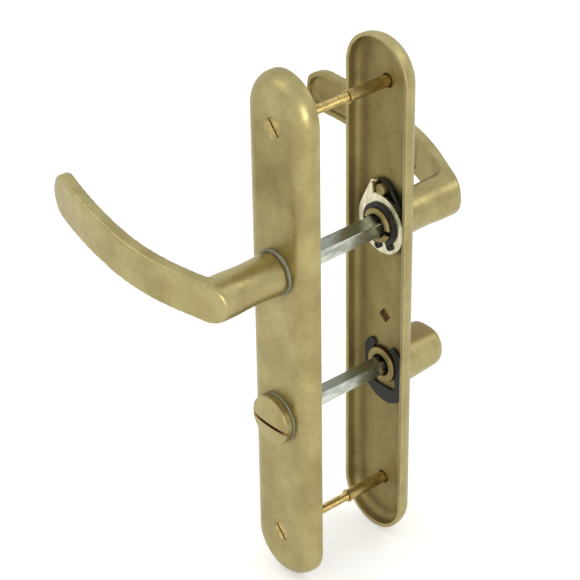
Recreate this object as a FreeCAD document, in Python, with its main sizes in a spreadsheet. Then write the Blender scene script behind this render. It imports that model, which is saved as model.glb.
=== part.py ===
import FreeCAD, Part
import math
import os
import Sketcher

# Lever handle set on two long backplates for a bathroom door, with an emergency release outside
# and a thumb turn inside. Millimetres. X runs across the plates, Y through the door (the outer
# side is -Y, the inner side +Y) and Z is up. The origin is on the lever spindle's axis, midway
# through the door. Depths called "out" are measured from there towards the outer side.

# alias, value
SIZES = [
    ("door_thickness", 44.0),
    ("centre_distance", 70.0),
    ("rest_angle", 8.0),
    ("plate_length", 239.0),
    ("plate_width", 35.5),
    ("plate_top_height", 86.1),
    ("plate_depth", 8.5),
    ("plate_face", 2.5),
    ("plate_wall", 1.5),
    ("plate_edge_round", 7.0),
    ("plate_inner_round", 3.5),
    ("upper_fixing_inset", 21.7),
    ("lower_fixing_inset", 22.3),
    ("running_clearance", 0.06),
    ("fit_clearance", 0.1),
    ("end_play", 0.1),
    ("lever_spindle_side", 7.0),
    ("lever_spindle_length", 96.0),
    ("turn_spindle_side", 6.0),
    ("turn_spindle_outer_end", 32.5),
    ("turn_spindle_inner_end", 44.0),
    ("spindle_edge_break", 0.35),
    ("lever_spigot_radius", 7.6),
    ("lever_spigot_setback", 0.3),
    ("lever_spigot_round", 1.2),
    ("lever_spigot_opening", 5.2),
    ("spigot_opening_depth", 4.0),
    ("spigot_opening_round", 0.5),
    ("cross_slot_width", 2.4),
    ("circlip_setback", 1.8),
    ("circlip_thickness", 1.0),
    ("circlip_groove_depth", 0.7),
    ("circlip_width", 2.6),
    ("circlip_ear_radius", 1.55),
    ("circlip_eye_radius", 0.7),
    ("circlip_ear_reach", 10.3),
    ("circlip_gap_angle", 24.0),
    ("circlip_turn", -75.0),
    ("stop_plate_thickness", 1.5),
    ("stop_plate_radius", 13.3),
    ("stop_lug_reach", 19.5),
    ("stop_lug_angle", 17.0),
    ("stop_tab_thickness", 1.2),
    ("stop_tab_height", 2.2),
    ("stop_tab_inset", 0.5),
    ("stop_pin_radius", 2.5),
    ("stop_pin_height", 16.0),
    ("stop_pin_length", 3.7),
    ("stop_pin_root", 1.5),
    ("stop_pin_dimple", 0.9),
    ("stop_pin_edge_break", 0.3),
    ("spring_wire_width", 1.8),
    ("spring_wire_thickness", 1.0),
    ("spring_inner_radius", 9.1),
    ("spring_bend_radius", 1.2),
    ("spring_tang_setback", 1.8),
    ("spring_hook_end", 205.0),
    ("spring_middle_top", 11.1),
    ("spring_outer_bottom", 11.3),
    ("spring_outer_radius", 12.6),
    ("washer_thickness", 0.7),
    ("neck_washer_radius", 10.0),
    ("turn_washer_radius", 11.2),
    ("release_washer_radius", 11.0),
    ("release_washer_thickness", 0.8),
    ("neck_base_radius", 9.6),
    ("neck_waist_radius", 8.75),
    ("neck_waist_out", 43.0),
    ("neck_elbow_radius", 9.2),
    ("neck_elbow_out", 54.0),
    ("grip_projection", 43.6),
    ("grip_splay", 20.5),
    ("grip_straight", 12.0),
    ("grip_bow_radius", 94.0),
    ("grip_tip_radius", 200.0),
    ("grip_tip_turn", 14.5),
    ("grip_thickness", 5.8),
    ("grip_tip_half_height", 9.9),
    ("grip_skin", 2.4),
    ("grip_rim", 2.5),
    ("recess_start", 26.0),
    ("recess_corner_round", 1.0),
    ("grub_radius", 2.5),
    ("grub_out", 41.0),
    ("grub_socket_radius", 1.3),
    ("grub_socket_depth", 2.2),
    ("grub_recess", 0.6),
    ("turn_spigot_radius", 8.1),
    ("turn_ring_out", 25.6),
    ("turn_ring_thickness", 1.2),
    ("turn_ring_round", 1.0),
    ("turn_spigot_opening", 4.9),
    ("turn_groove_radius", 6.3),
    ("clip_half_width", 11.2),
    ("clip_side_top", 2.5),
    ("clip_tip_height", 10.3),
    ("clip_tip_outer", 7.4),
    ("clip_tip_inner", 4.6),
    ("clip_bottom", 18.4),
    ("clip_bottom_radius", 13.3),
    ("clip_window_rise", 3.0),
    ("clip_window_bottom", 11.1),
    ("clip_window_corner", 2.8),
    ("clip_shift", 0.6),
    ("clip_turn", 3.0),
    ("release_radius", 10.8),
    ("release_height", 3.7),
    ("release_edge_round", 0.5),
    ("release_crown", 1.0),
    ("release_slot_width", 1.6),
    ("release_slot_depth", 1.9),
    ("release_slot_drop", 1.5),
    ("release_slot_cutter_radius", 48.0),
    ("release_bore_floor", 33.0),
    ("knob_base_radius", 11.5),
    ("knob_end_radius", 9.8),
    ("knob_length", 22.0),
    ("knob_edge_round", 2.6),
    ("knob_crown", 0.7),
    ("knob_flat_start", 2.0),
    ("knob_flat_at_start", 8.1),
    ("knob_flat_at_end", 5.7),
    ("knob_grub_out", 37.5),
    ("knob_grub_radius", 2.0),
    ("screw_radius", 2.0),
    ("screw_length", 50.0),
    ("screw_head_radius", 3.85),
    ("screw_head_sink", 0.5),
    ("screw_head_land", 0.15),
    ("screw_slot_width", 1.0),
    ("screw_slot_depth", 1.1),
    ("screw_end_chamfer", 0.6),
    ("sleeve_radius", 2.5),
    ("sleeve_length", 23.0),
    ("sleeve_rim_radius", 2.85),
    ("sleeve_rim_length", 1.0),
    ("sleeve_bore_length", 19.5),
    ("sleeve_hole_clearance", 0.5),
    ("cast_pocket_side", 5.0),
    ("cast_pocket_depth", 1.2),
    ("cast_pocket_drop", 45.8),
    ("cast_pocket_turn", 38.0),
]

doc = FreeCAD.newDocument("bathroom_lever_set")
sheet = doc.addObject("Spreadsheet::Sheet", "Sizes")
for row, (alias, value) in enumerate(SIZES, start=1):
    sheet.set(f"A{row}", alias)
    sheet.set(f"B{row}", str(value))
    sheet.setAlias(f"B{row}", alias)
doc.recompute()


def size(alias):
    """The value of a cell of the sheet."""
    return float(sheet.get(alias))


# Places that several pieces share, measured out from the middle of the door
RIM_OUT = size("door_thickness") / 2
FACE_OUT = RIM_OUT + size("plate_depth")
FLOOR_OUT = FACE_OUT - size("plate_face")
SPIGOT_OUT = RIM_OUT + size("lever_spigot_setback")
GROOVE_OUT = SPIGOT_OUT + size("circlip_setback")
STOP_OUT = GROOVE_OUT + size("circlip_thickness") + size("end_play") / 2
SPRING_OUT = (STOP_OUT + size("stop_plate_thickness") + FLOOR_OUT) / 2
NECK_OUT = FACE_OUT + size("washer_thickness")
BUTTON_OUT = FACE_OUT + size("release_washer_thickness")
ELBOW_OUT = RIM_OUT + size("grip_projection")
UPPER_FIXING = "Sizes.plate_top_height - Sizes.upper_fixing_inset"
LOWER_FIXING = "Sizes.plate_top_height - Sizes.plate_length + Sizes.lower_fixing_inset"
TURN_HEIGHT = -size("centre_distance")
# How far a cut runs on past the face that it opens
OVERRUN = 1.0

PARTS = []


def keep(obj):
    """Note a sub-part that is written out under its label."""
    PARTS.append(obj)
    return obj


def point(x, y):
    return FreeCAD.Vector(x, y, 0)


def new_body(label, at=(0.0, 0.0, 0.0), axis=(0, 0, 1), angle=0.0):
    body = doc.addObject("PartDesign::Body", label)
    body.Label = label
    body.Placement = FreeCAD.Placement(FreeCAD.Vector(*at), FreeCAD.Rotation(FreeCAD.Vector(*axis), angle))
    return body


def turn_with_lever(obj):
    """Stand a piece of the lever's own frame at the angle where the lever rests."""
    obj.Placement = FreeCAD.Placement(FreeCAD.Vector(), FreeCAD.Rotation(FreeCAD.Vector(0, 1, 0), 1.0))
    obj.setExpression("Placement.Rotation.Angle", "Sizes.rest_angle")


def drop_to_turn(obj):
    """Move a piece from the lever's axis down to the turn's axis."""
    obj.setExpression("Placement.Base.z", "-Sizes.centre_distance")


def sketch_in(body, name, role="XZ_Plane", out="0"):
    """A sketch on an origin plane of the body, moved out by an expression. On XZ_Plane the
    sketch's own axes are X and Z, and out moves it towards -Y."""
    sketch = body.newObject("Sketcher::SketchObject", name)
    plane = [item for item in body.Origin.OriginFeatures if item.Role == role][0]
    sketch.AttachmentSupport = [(plane, "")]
    sketch.MapMode = "FlatFace"
    if out != "0":
        sketch.setExpression("AttachmentOffset.Base.z", out)
    return sketch


def free_sketch(name, plane):
    """A sketch that stands by itself, on the plan (XY) or the front view (XZ)."""
    sketch = doc.addObject("Sketcher::SketchObject", name)
    if plane == "front":
        sketch.Placement = FreeCAD.Placement(FreeCAD.Vector(), FreeCAD.Rotation(FreeCAD.Vector(1, 0, 0), 90))
    return sketch


def add_circle(sketch, radius_expression, radius, x=0.0, y=0.0):
    """A circle whose radius is held by an expression."""
    index = sketch.addGeometry(Part.Circle(point(x, y), FreeCAD.Vector(0, 0, 1), radius), False)
    if x == 0.0 and y == 0.0:
        sketch.addConstraint(Sketcher.Constraint("Coincident", index, 3, -1, 1))
    constraint = sketch.addConstraint(Sketcher.Constraint("Radius", index, radius))
    sketch.setExpression(f"Constraints[{constraint}]", radius_expression)
    return index


def add_lines(sketch, corners):
    """A closed outline of straight lines."""
    for start, end in zip(corners, corners[1:] + corners[:1]):
        sketch.addGeometry(Part.LineSegment(point(*start), point(*end)), False)


def add_slot(sketch, half_width, top, bottom):
    """An outline with two straight sides and round ends, between two heights."""
    upper = top - half_width
    lower = bottom + half_width
    up = FreeCAD.Vector(0, 0, 1)
    sketch.addGeometry(Part.ArcOfCircle(Part.Circle(point(0, upper), up, half_width), 0, math.pi), False)
    sketch.addGeometry(Part.LineSegment(point(-half_width, upper), point(-half_width, lower)), False)
    sketch.addGeometry(Part.ArcOfCircle(Part.Circle(point(0, lower), up, half_width), math.pi, 2 * math.pi), False)
    sketch.addGeometry(Part.LineSegment(point(half_width, lower), point(half_width, upper)), False)


def pad(body, sketch, name, length, reverse=False, both=False):
    feature = body.newObject("PartDesign::Pad", name)
    feature.Profile = sketch
    feature.setExpression("Length", length)
    feature.Reversed = reverse
    feature.Midplane = both
    sketch.Visibility = False
    return feature


def pocket(body, sketch, name, length, reverse=False):
    feature = body.newObject("PartDesign::Pocket", name)
    feature.Profile = sketch
    feature.setExpression("Length", length)
    feature.Reversed = reverse
    sketch.Visibility = False
    return feature


def pocket_both(body, sketch, name, length):
    """A pocket that is cut to both sides of its sketch."""
    feature = body.newObject("PartDesign::Pocket", name)
    feature.Profile = sketch
    feature.setExpression("Length", length)
    feature.Midplane = True
    sketch.Visibility = False
    return feature


def quarter_round(start, corner, end):
    """The end of a quarter round that starts at start, with a point that it passes through."""
    share = math.sqrt(0.5)
    via = tuple(c * (2 * share - 1) + (a + b) * (1 - share) for a, b, c in zip(start, end, corner))
    return end + (via,)


def turned(body, name, outline):
    """A solid of revolution about Y from an outline of (radius, out) points. A point with a
    third item is reached by an arc through the place that the item gives."""
    sketch = sketch_in(body, name + "_section", "XY_Plane")
    for start, end in zip(outline, outline[1:] + outline[:1]):
        first = point(start[0], -start[1])
        last = point(end[0], -end[1])
        if len(end) == 3:
            sketch.addGeometry(Part.Arc(first, point(end[2][0], -end[2][1]), last), False)
        else:
            sketch.addGeometry(Part.LineSegment(first, last), False)
    feature = body.newObject("PartDesign::Revolution", name)
    feature.Profile = sketch
    feature.ReferenceAxis = (sketch, ["V_Axis"])
    feature.Angle = 360
    sketch.Visibility = False
    return feature


def checked_cut(body, feature):
    """Stop if a cut has taken nothing away."""
    doc.recompute()
    before = feature.BaseFeature.Shape.Volume
    if feature.Shape.Volume > before - 1e-6:
        raise RuntimeError(f"{body.Label}: {feature.Label} cuts nothing")


def mirrored(source, label):
    """The same piece on the other side of the door."""
    other = doc.addObject("Part::Mirroring", label)
    other.Label = label
    other.Source = source
    other.Normal = FreeCAD.Vector(0, 1, 0)
    other.Base = FreeCAD.Vector()
    return keep(other)


def round_edges(body, base, name, edges, radius):
    fillet = body.newObject("PartDesign::Fillet", name)
    fillet.Base = (base, edges)
    fillet.setExpression("Radius", radius)
    return fillet


def edges_at(shape, axis, value, test=None):
    """Names of the edges that lie wholly in the plane axis = value."""
    low = axis + "Min"
    high = axis + "Max"
    names = []
    for index, edge in enumerate(shape.Edges, start=1):
        box = edge.BoundBox
        if abs(getattr(box, low) - value) < 1e-4 and abs(getattr(box, high) - value) < 1e-4:
            if test is None or test(edge):
                names.append(f"Edge{index}")
    return names


# Backplates

def plate_holes(body, kind):
    """The bores of the two spigots, and the two countersunk holes of the fixings."""
    bores = sketch_in(body, "spigot_bores", out="Sizes.door_thickness / 2")
    add_circle(bores, "Sizes.lever_spigot_radius + Sizes.running_clearance",
               size("lever_spigot_radius") + size("running_clearance"))
    turn = add_circle(bores, "Sizes.turn_spigot_radius + Sizes.running_clearance",
                      size("turn_spigot_radius") + size("running_clearance"), 0.0001, TURN_HEIGHT)
    drop = bores.addConstraint(Sketcher.Constraint("DistanceY", turn, 3, -1, 1, -TURN_HEIGHT))
    bores.setExpression(f"Constraints[{drop}]", "Sizes.centre_distance")
    bores.addConstraint(Sketcher.Constraint("PointOnObject", turn, 3, -2))
    checked_cut(body, pocket(body, bores, "spigot_bore_cut", f"Sizes.plate_depth + {OVERRUN}", reverse=True))
    if kind == "screw":
        hole = size("screw_radius") + 2 * size("fit_clearance")
    else:
        hole = size("sleeve_radius") + size("sleeve_hole_clearance")
    mouth = (size("screw_head_radius") + size("screw_head_sink") + size("screw_head_land")
             + size("fit_clearance") / 2)
    for name, height in (("upper", UPPER_FIXING), ("lower", LOWER_FIXING)):
        section = sketch_in(body, f"{name}_fixing_section", "XY_Plane", out=height)
        outline = [(0, RIM_OUT - OVERRUN), (hole, RIM_OUT - OVERRUN), (hole, FACE_OUT - mouth + hole),
                   (mouth, FACE_OUT), (mouth, FACE_OUT + OVERRUN), (0, FACE_OUT + OVERRUN)]
        add_lines(section, [(radius, -out) for radius, out in outline])
        cut = body.newObject("PartDesign::Groove", f"{name}_fixing_hole")
        cut.Profile = section
        cut.ReferenceAxis = (section, ["V_Axis"])
        cut.Angle = 360
        section.Visibility = False
        checked_cut(body, cut)


def make_plate(label, kind, angle):
    """A cast backplate: a shallow shell with round ends, open towards the door."""
    body = new_body(label, axis=(0, 0, 1), angle=angle)
    outline = sketch_in(body, "plate_outline", out="Sizes.door_thickness / 2")
    half = size("plate_width") / 2
    top = size("plate_top_height")
    bottom = top - size("plate_length")
    add_slot(outline, half, top, bottom)
    pad(body, outline, "plate_block", "Sizes.plate_depth")
    wall = size("plate_wall")
    inside = sketch_in(body, "hollow_outline", out="Sizes.door_thickness / 2")
    add_slot(inside, half - wall, top - wall, bottom + wall)
    hollow = pocket(body, inside, "hollow", "Sizes.plate_depth - Sizes.plate_face", reverse=True)
    checked_cut(body, hollow)
    soft = round_edges(body, hollow, "hollow_edge", edges_at(hollow.Shape, "Y", -FLOOR_OUT), "Sizes.plate_inner_round")
    doc.recompute()
    round_edges(body, soft, "plate_edge", edges_at(soft.Shape, "Y", -FACE_OUT), "Sizes.plate_edge_round")
    doc.recompute()
    mark = sketch_in(body, "cast_pocket_outline", out=str(FLOOR_OUT - OVERRUN))
    reach = size("cast_pocket_side") * math.sqrt(0.5)
    corners = []
    for step in range(4):
        angle_in_face = math.radians(45 + 90 * step + size("cast_pocket_turn"))
        corners.append((reach * math.cos(angle_in_face), -size("cast_pocket_drop") + reach * math.sin(angle_in_face)))
    add_lines(mark, corners)
    checked_cut(body, pocket(body, mark, "cast_pocket", f"Sizes.cast_pocket_depth + {OVERRUN}", reverse=True))
    plate_holes(body, kind)
    pin = sketch_in(body, "pin_hole", out="Sizes.door_thickness / 2")
    seat = size("stop_pin_radius") + size("fit_clearance") / 4
    pin.addGeometry(Part.Circle(point(0, size("stop_pin_height")), FreeCAD.Vector(0, 0, 1), seat), False)
    checked_cut(body, pocket(body, pin, "pin_seat",
                             "Sizes.plate_depth - Sizes.plate_face + Sizes.stop_pin_root", reverse=True))
    return keep(body)


def make_stop_pin():
    """The stud that stops the lever at rest and holds the end of the return spring."""
    body = new_body("outer_stop_pin")
    radius = size("stop_pin_radius")
    tip = FLOOR_OUT - size("stop_pin_length")
    root = FLOOR_OUT + size("stop_pin_root")
    dimple = size("stop_pin_dimple")
    edge = size("stop_pin_edge_break")
    turned(body, "stud", [(0, root), (radius, root), (radius, tip + edge), (radius - edge, tip),
                          (dimple, tip), (0, tip + dimple / 2)])
    body.setExpression("Placement.Base.z", "Sizes.stop_pin_height")
    return keep(body)


# Levers

class Trail:
    """A line of straight runs and tangent arcs in the plan, with a copy of it at an offset."""

    def __init__(self, x, y, heading):
        self.start = (x, y)
        self.heading = heading
        self.steps = []

    def line(self, length):
        self.steps.append(("line", length, 0.0))
        return self

    def arc(self, radius, turn):
        """Turn to the right by an angle in degrees, on the given radius."""
        self.steps.append(("arc", radius, turn))
        return self

    def points(self, offset):
        """Corner points of each step and a middle point for arcs, offset to the right."""
        heading = math.radians(self.heading)
        x = self.start[0] + offset * math.sin(heading)
        y = self.start[1] - offset * math.cos(heading)
        result = []
        for kind, amount, turn in self.steps:
            begin = (x, y)
            if kind == "line":
                x += amount * math.cos(heading)
                y += amount * math.sin(heading)
                result.append((begin, None, (x, y)))
                continue
            radius = amount - offset
            centre = (x + radius * math.sin(heading), y - radius * math.cos(heading))
            middle = heading - math.radians(turn) / 2
            heading -= math.radians(turn)
            half = (centre[0] - radius * math.sin(middle), centre[1] + radius * math.cos(middle))
            x = centre[0] - radius * math.sin(heading)
            y = centre[1] + radius * math.cos(heading)
            result.append((begin, half, (x, y)))
        return result


def add_trail(sketch, steps):
    for begin, half, end in steps:
        if half is None:
            sketch.addGeometry(Part.LineSegment(point(*begin), point(*end)), False)
        else:
            sketch.addGeometry(Part.Arc(point(*begin), point(*half), point(*end)), False)


def reversed_steps(steps):
    return [(end, half, begin) for begin, half, end in reversed(steps)]


def grip_trail():
    """The outer face of the grip in the plan, from beyond the elbow to the tip."""
    splay = size("grip_splay")
    slope = math.tan(math.radians(splay))
    right = size("neck_elbow_radius") + 1
    length = (right + size("grip_straight")) / math.cos(math.radians(splay))
    trail = Trail(right, -ELBOW_OUT + right * slope, 180 + splay)
    trail.line(length)
    trail.arc(size("grip_bow_radius"), splay)
    trail.arc(size("grip_tip_radius"), size("grip_tip_turn"))
    return trail


def strip_sketch(name, outer, inner):
    """The plan of the band between two offsets of the grip's outer face."""
    sketch = free_sketch(name, "plan")
    trail = grip_trail()
    front = trail.points(outer)
    back = trail.points(inner)
    add_trail(sketch, front)
    sketch.addGeometry(Part.LineSegment(point(*front[-1][2]), point(*back[-1][2])), False)
    add_trail(sketch, reversed_steps(back))
    sketch.addGeometry(Part.LineSegment(point(*back[0][0]), point(*front[0][0])), False)
    return sketch


def tapered_slot_sketch(name, right_x, right_radius, left_x, left_radius):
    """Two round ends of different radii joined by their common tangents, in the front view."""
    sketch = free_sketch(name, "front")
    span = right_x - left_x
    lean = math.asin((left_radius - right_radius) / span)
    up = FreeCAD.Vector(0, 0, 1)
    quarter = math.pi / 2
    right = Part.Circle(point(right_x, 0), up, right_radius)
    left = Part.Circle(point(left_x, 0), up, left_radius)
    top = quarter - lean
    ends = []
    for x, radius in ((right_x, right_radius), (left_x, left_radius)):
        ends.append((x + radius * math.cos(top), radius * math.sin(top)))
    sketch.addGeometry(Part.ArcOfCircle(right, -top, top), False)
    sketch.addGeometry(Part.LineSegment(point(*ends[0]), point(*ends[1])), False)
    sketch.addGeometry(Part.ArcOfCircle(left, top, 2 * math.pi - top), False)
    sketch.addGeometry(Part.LineSegment(point(ends[1][0], -ends[1][1]), point(ends[0][0], -ends[0][1])), False)
    return sketch


def recess_sketch(name, right_x, right_half, left_x, left_radius):
    """The front view of the grip's hollow: a square right end with small corner rounds, and a
    round left end."""
    sketch = free_sketch(name, "front")
    corner = size("recess_corner_round")
    corner_x = right_x - corner
    corner_y = right_half - corner
    span = corner_x - left_x
    top = math.atan2(corner_y, span) + math.acos((left_radius - corner) / math.hypot(span, corner_y))
    up = FreeCAD.Vector(0, 0, 1)
    along = (math.cos(top), math.sin(top))
    near = (corner_x + corner * along[0], corner_y + corner * along[1])
    far = (left_x + left_radius * along[0], left_radius * along[1])
    sketch.addGeometry(Part.LineSegment(point(right_x, -corner_y), point(right_x, corner_y)), False)
    sketch.addGeometry(Part.ArcOfCircle(Part.Circle(point(corner_x, corner_y), up, corner), 0, top), False)
    sketch.addGeometry(Part.LineSegment(point(*near), point(*far)), False)
    sketch.addGeometry(Part.ArcOfCircle(Part.Circle(point(left_x, 0), up, left_radius), top, 2 * math.pi - top), False)
    sketch.addGeometry(Part.LineSegment(point(far[0], -far[1]), point(near[0], -near[1])), False)
    sketch.addGeometry(Part.ArcOfCircle(Part.Circle(point(corner_x, -corner_y), up, corner), -top, 0), False)
    return sketch


def extrusion(name, sketch, direction, length, start=0.0):
    solid = doc.addObject("Part::Extrusion", name)
    solid.Base = sketch
    solid.DirMode = "Custom"
    solid.Dir = FreeCAD.Vector(*direction)
    solid.LengthFwd = length
    solid.LengthRev = -start
    solid.Solid = True
    return solid


def boolean(kind, name, *shapes):
    result = doc.addObject(f"Part::{kind}", name)
    if kind in ("MultiFuse", "MultiCommon"):
        result.Shapes = list(shapes)
    else:
        result.Base = shapes[0]
        result.Tool = shapes[1]
    return result


def grip_solid():
    """The curved band of the grip with its round tip, and the hollow in its back."""
    tip_x = grip_trail().points(0)[-1][2][0]
    tall = size("grip_tip_half_height")
    deep = ELBOW_OUT + size("grip_bow_radius")
    plan = extrusion("grip_plan", strip_sketch("grip_strip", 0, size("grip_thickness")), (0, 0, 1), 2 * tall, -2 * tall)
    front = extrusion("grip_front", tapered_slot_sketch("grip_view", 0, size("neck_elbow_radius"), tip_x + tall, tall),
                      (0, -1, 0), deep)
    grip = boolean("Common", "grip_band", plan, front)
    rim = size("grip_rim")
    hollow_plan = extrusion("recess_plan", strip_sketch("recess_strip", size("grip_skin"), 2 * size("grip_thickness")),
                            (0, 0, 1), 2 * tall, -2 * tall)
    hollow_front = extrusion("recess_front",
                             recess_sketch("recess_view", -size("recess_start"), size("neck_elbow_radius") - rim,
                                           tip_x + tall, tall - rim),
                             (0, -1, 0), deep)
    recess = boolean("Common", "grip_recess", hollow_plan, hollow_front)
    return grip, recess


def spigot_end_outline(end, radius, outer_round, opening):
    """The start of a half outline, (radius, out): a round opening in the end of a spigot, and
    the end's rounded edge."""
    soft = size("spigot_opening_round")
    floor = end + size("spigot_opening_depth")
    return [(0, floor), (opening, floor), (opening, end + soft),
            quarter_round((opening, end + soft), (opening, end), (opening + soft, end)),
            (radius - outer_round, end),
            quarter_round((radius - outer_round, end), (radius, end), (radius, end + outer_round))]


def neck_solid():
    """The round neck with the spigot that runs in the plate, trimmed by the grip's outer face."""
    body = new_body("neck")
    spigot = size("lever_spigot_radius")
    groove = spigot - size("circlip_groove_depth")
    groove_end = GROOVE_OUT + size("circlip_thickness") + size("end_play")
    beyond = ELBOW_OUT + 2 * size("neck_elbow_radius")
    outline = spigot_end_outline(SPIGOT_OUT, spigot, size("lever_spigot_round"), size("lever_spigot_opening"))
    outline += [(spigot, GROOVE_OUT), (groove, GROOVE_OUT), (groove, groove_end), (spigot, groove_end),
                (spigot, NECK_OUT), (size("neck_base_radius"), NECK_OUT),
                (size("neck_elbow_radius"), size("neck_elbow_out"), (size("neck_waist_radius"), size("neck_waist_out"))),
                (size("neck_elbow_radius"), beyond), (0, beyond)]
    turned(body, "neck_turned", outline)
    doc.recompute()
    behind = free_sketch("behind_face", "plan")
    face = grip_trail().points(0)
    add_trail(behind, face)
    corners = [face[-1][2], (face[-1][2][0], 0), (face[0][0][0], 0), face[0][0]]
    for start, end in zip(corners, corners[1:]):
        behind.addGeometry(Part.LineSegment(point(*start), point(*end)), False)
    keep_side = extrusion("behind_face_block", behind, (0, 0, 1), 2 * size("neck_base_radius"),
                          -2 * size("neck_base_radius"))
    return boolean("Common", "neck_trimmed", body, keep_side)


def square_bore(name, side_alias, out_start, out_end):
    bore = doc.addObject("Part::Box", name)
    side = f"(Sizes.{side_alias} + Sizes.fit_clearance)"
    bore.setExpression("Length", side)
    bore.setExpression("Height", side)
    bore.Width = out_end - out_start
    bore.Placement.Base = FreeCAD.Vector(0, -out_end, 0)
    bore.setExpression("Placement.Base.x", f"-{side} / 2")
    bore.setExpression("Placement.Base.z", f"-{side} / 2")
    return bore


def make_lever():
    """The outer lever: neck, grip, spindle bore, cross slot of the spigot and grub screw hole."""
    grip, recess = grip_solid()
    body = boolean("MultiFuse", "lever_blank", neck_solid(), grip)
    body.Refine = True
    hollowed = boolean("Cut", "lever_hollowed", body, recess)
    spindle_end = size("lever_spindle_length") / 2 + size("end_play")
    bore = square_bore("lever_bore", "lever_spindle_side", SPIGOT_OUT - OVERRUN, spindle_end)
    slot = doc.addObject("Part::Box", "cross_slot")
    slot.Length = 4 * size("lever_spigot_radius")
    slot.setExpression("Height", "Sizes.cross_slot_width")
    slot.Width = SPRING_OUT + size("spring_wire_thickness") / 2 + size("end_play") - SPIGOT_OUT + OVERRUN
    slot.Placement.Base = FreeCAD.Vector(-2 * size("lever_spigot_radius"),
                                         -SPIGOT_OUT + OVERRUN - slot.Width.Value, 0)
    slot.setExpression("Placement.Base.z", "-Sizes.cross_slot_width / 2")
    hole = doc.addObject("Part::Cylinder", "grub_hole")
    hole.setExpression("Radius", "Sizes.grub_radius + Sizes.fit_clearance / 2")
    hole.setExpression("Height", f"Sizes.neck_base_radius + {OVERRUN}")
    hole.Placement = FreeCAD.Placement(FreeCAD.Vector(0, -size("grub_out"), 0),
                                       FreeCAD.Rotation(FreeCAD.Vector(1, 0, 0), 180))
    hole.setExpression("Placement.Base.y", "-Sizes.grub_out")
    tools = boolean("MultiFuse", "lever_cuts", bore, slot, hole)
    lever = boolean("Cut", "outer_lever", hollowed, tools)
    lever.Label = "outer_lever"
    turn_with_lever(lever)
    return keep(lever)


def make_circlip():
    """The ring that holds the lever's spigot in the plate, with an ear at each end."""
    body = new_body("outer_lever_circlip")
    inner = size("lever_spigot_radius") - size("circlip_groove_depth") + size("fit_clearance") / 4
    outer = inner + size("circlip_width")
    half_gap = math.radians(size("circlip_gap_angle") / 2)
    turn = math.radians(size("circlip_turn"))
    outline = sketch_in(body, "circlip_outline", out=f"{GROOVE_OUT + size('end_play') / 4}")
    begin = turn + half_gap
    end = turn + 2 * math.pi - half_gap
    up = FreeCAD.Vector(0, 0, 1)
    outline.addGeometry(Part.ArcOfCircle(Part.Circle(point(0, 0), up, outer), begin, end), False)
    outline.addGeometry(Part.ArcOfCircle(Part.Circle(point(0, 0), up, inner), begin, end), False)
    for angle in (begin, end):
        start = (inner * math.cos(angle), inner * math.sin(angle))
        stop = (outer * math.cos(angle), outer * math.sin(angle))
        outline.addGeometry(Part.LineSegment(point(*start), point(*stop)), False)
    pad(body, outline, "circlip_ring", "Sizes.circlip_thickness")
    reach = size("circlip_ear_reach")
    ear = size("circlip_ear_radius")
    lean = math.asin(ear / reach)
    for name, angle in (("first", begin + lean), ("second", end - lean)):
        ring = sketch_in(body, f"{name}_ear_outline", out=f"{GROOVE_OUT + size('end_play') / 4}")
        centre = (reach * math.cos(angle), reach * math.sin(angle))
        ring.addGeometry(Part.Circle(point(*centre), up, ear), False)
        pad(body, ring, f"{name}_ear", "Sizes.circlip_thickness")
        eye = sketch_in(body, f"{name}_eye_outline", out=f"{GROOVE_OUT - OVERRUN}")
        eye.addGeometry(Part.Circle(point(*centre), up, size("circlip_eye_radius")), False)
        checked_cut(body, pocket(body, eye, f"{name}_eye", f"Sizes.circlip_thickness + {2 * OVERRUN}", reverse=True))
    return keep(body)


def at_rest(x, z):
    """A place that the lever's frame has when the lever rests, in the lever's own frame."""
    angle = math.radians(size("rest_angle"))
    return (x * math.cos(angle) - z * math.sin(angle), x * math.sin(angle) + z * math.cos(angle))


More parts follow.
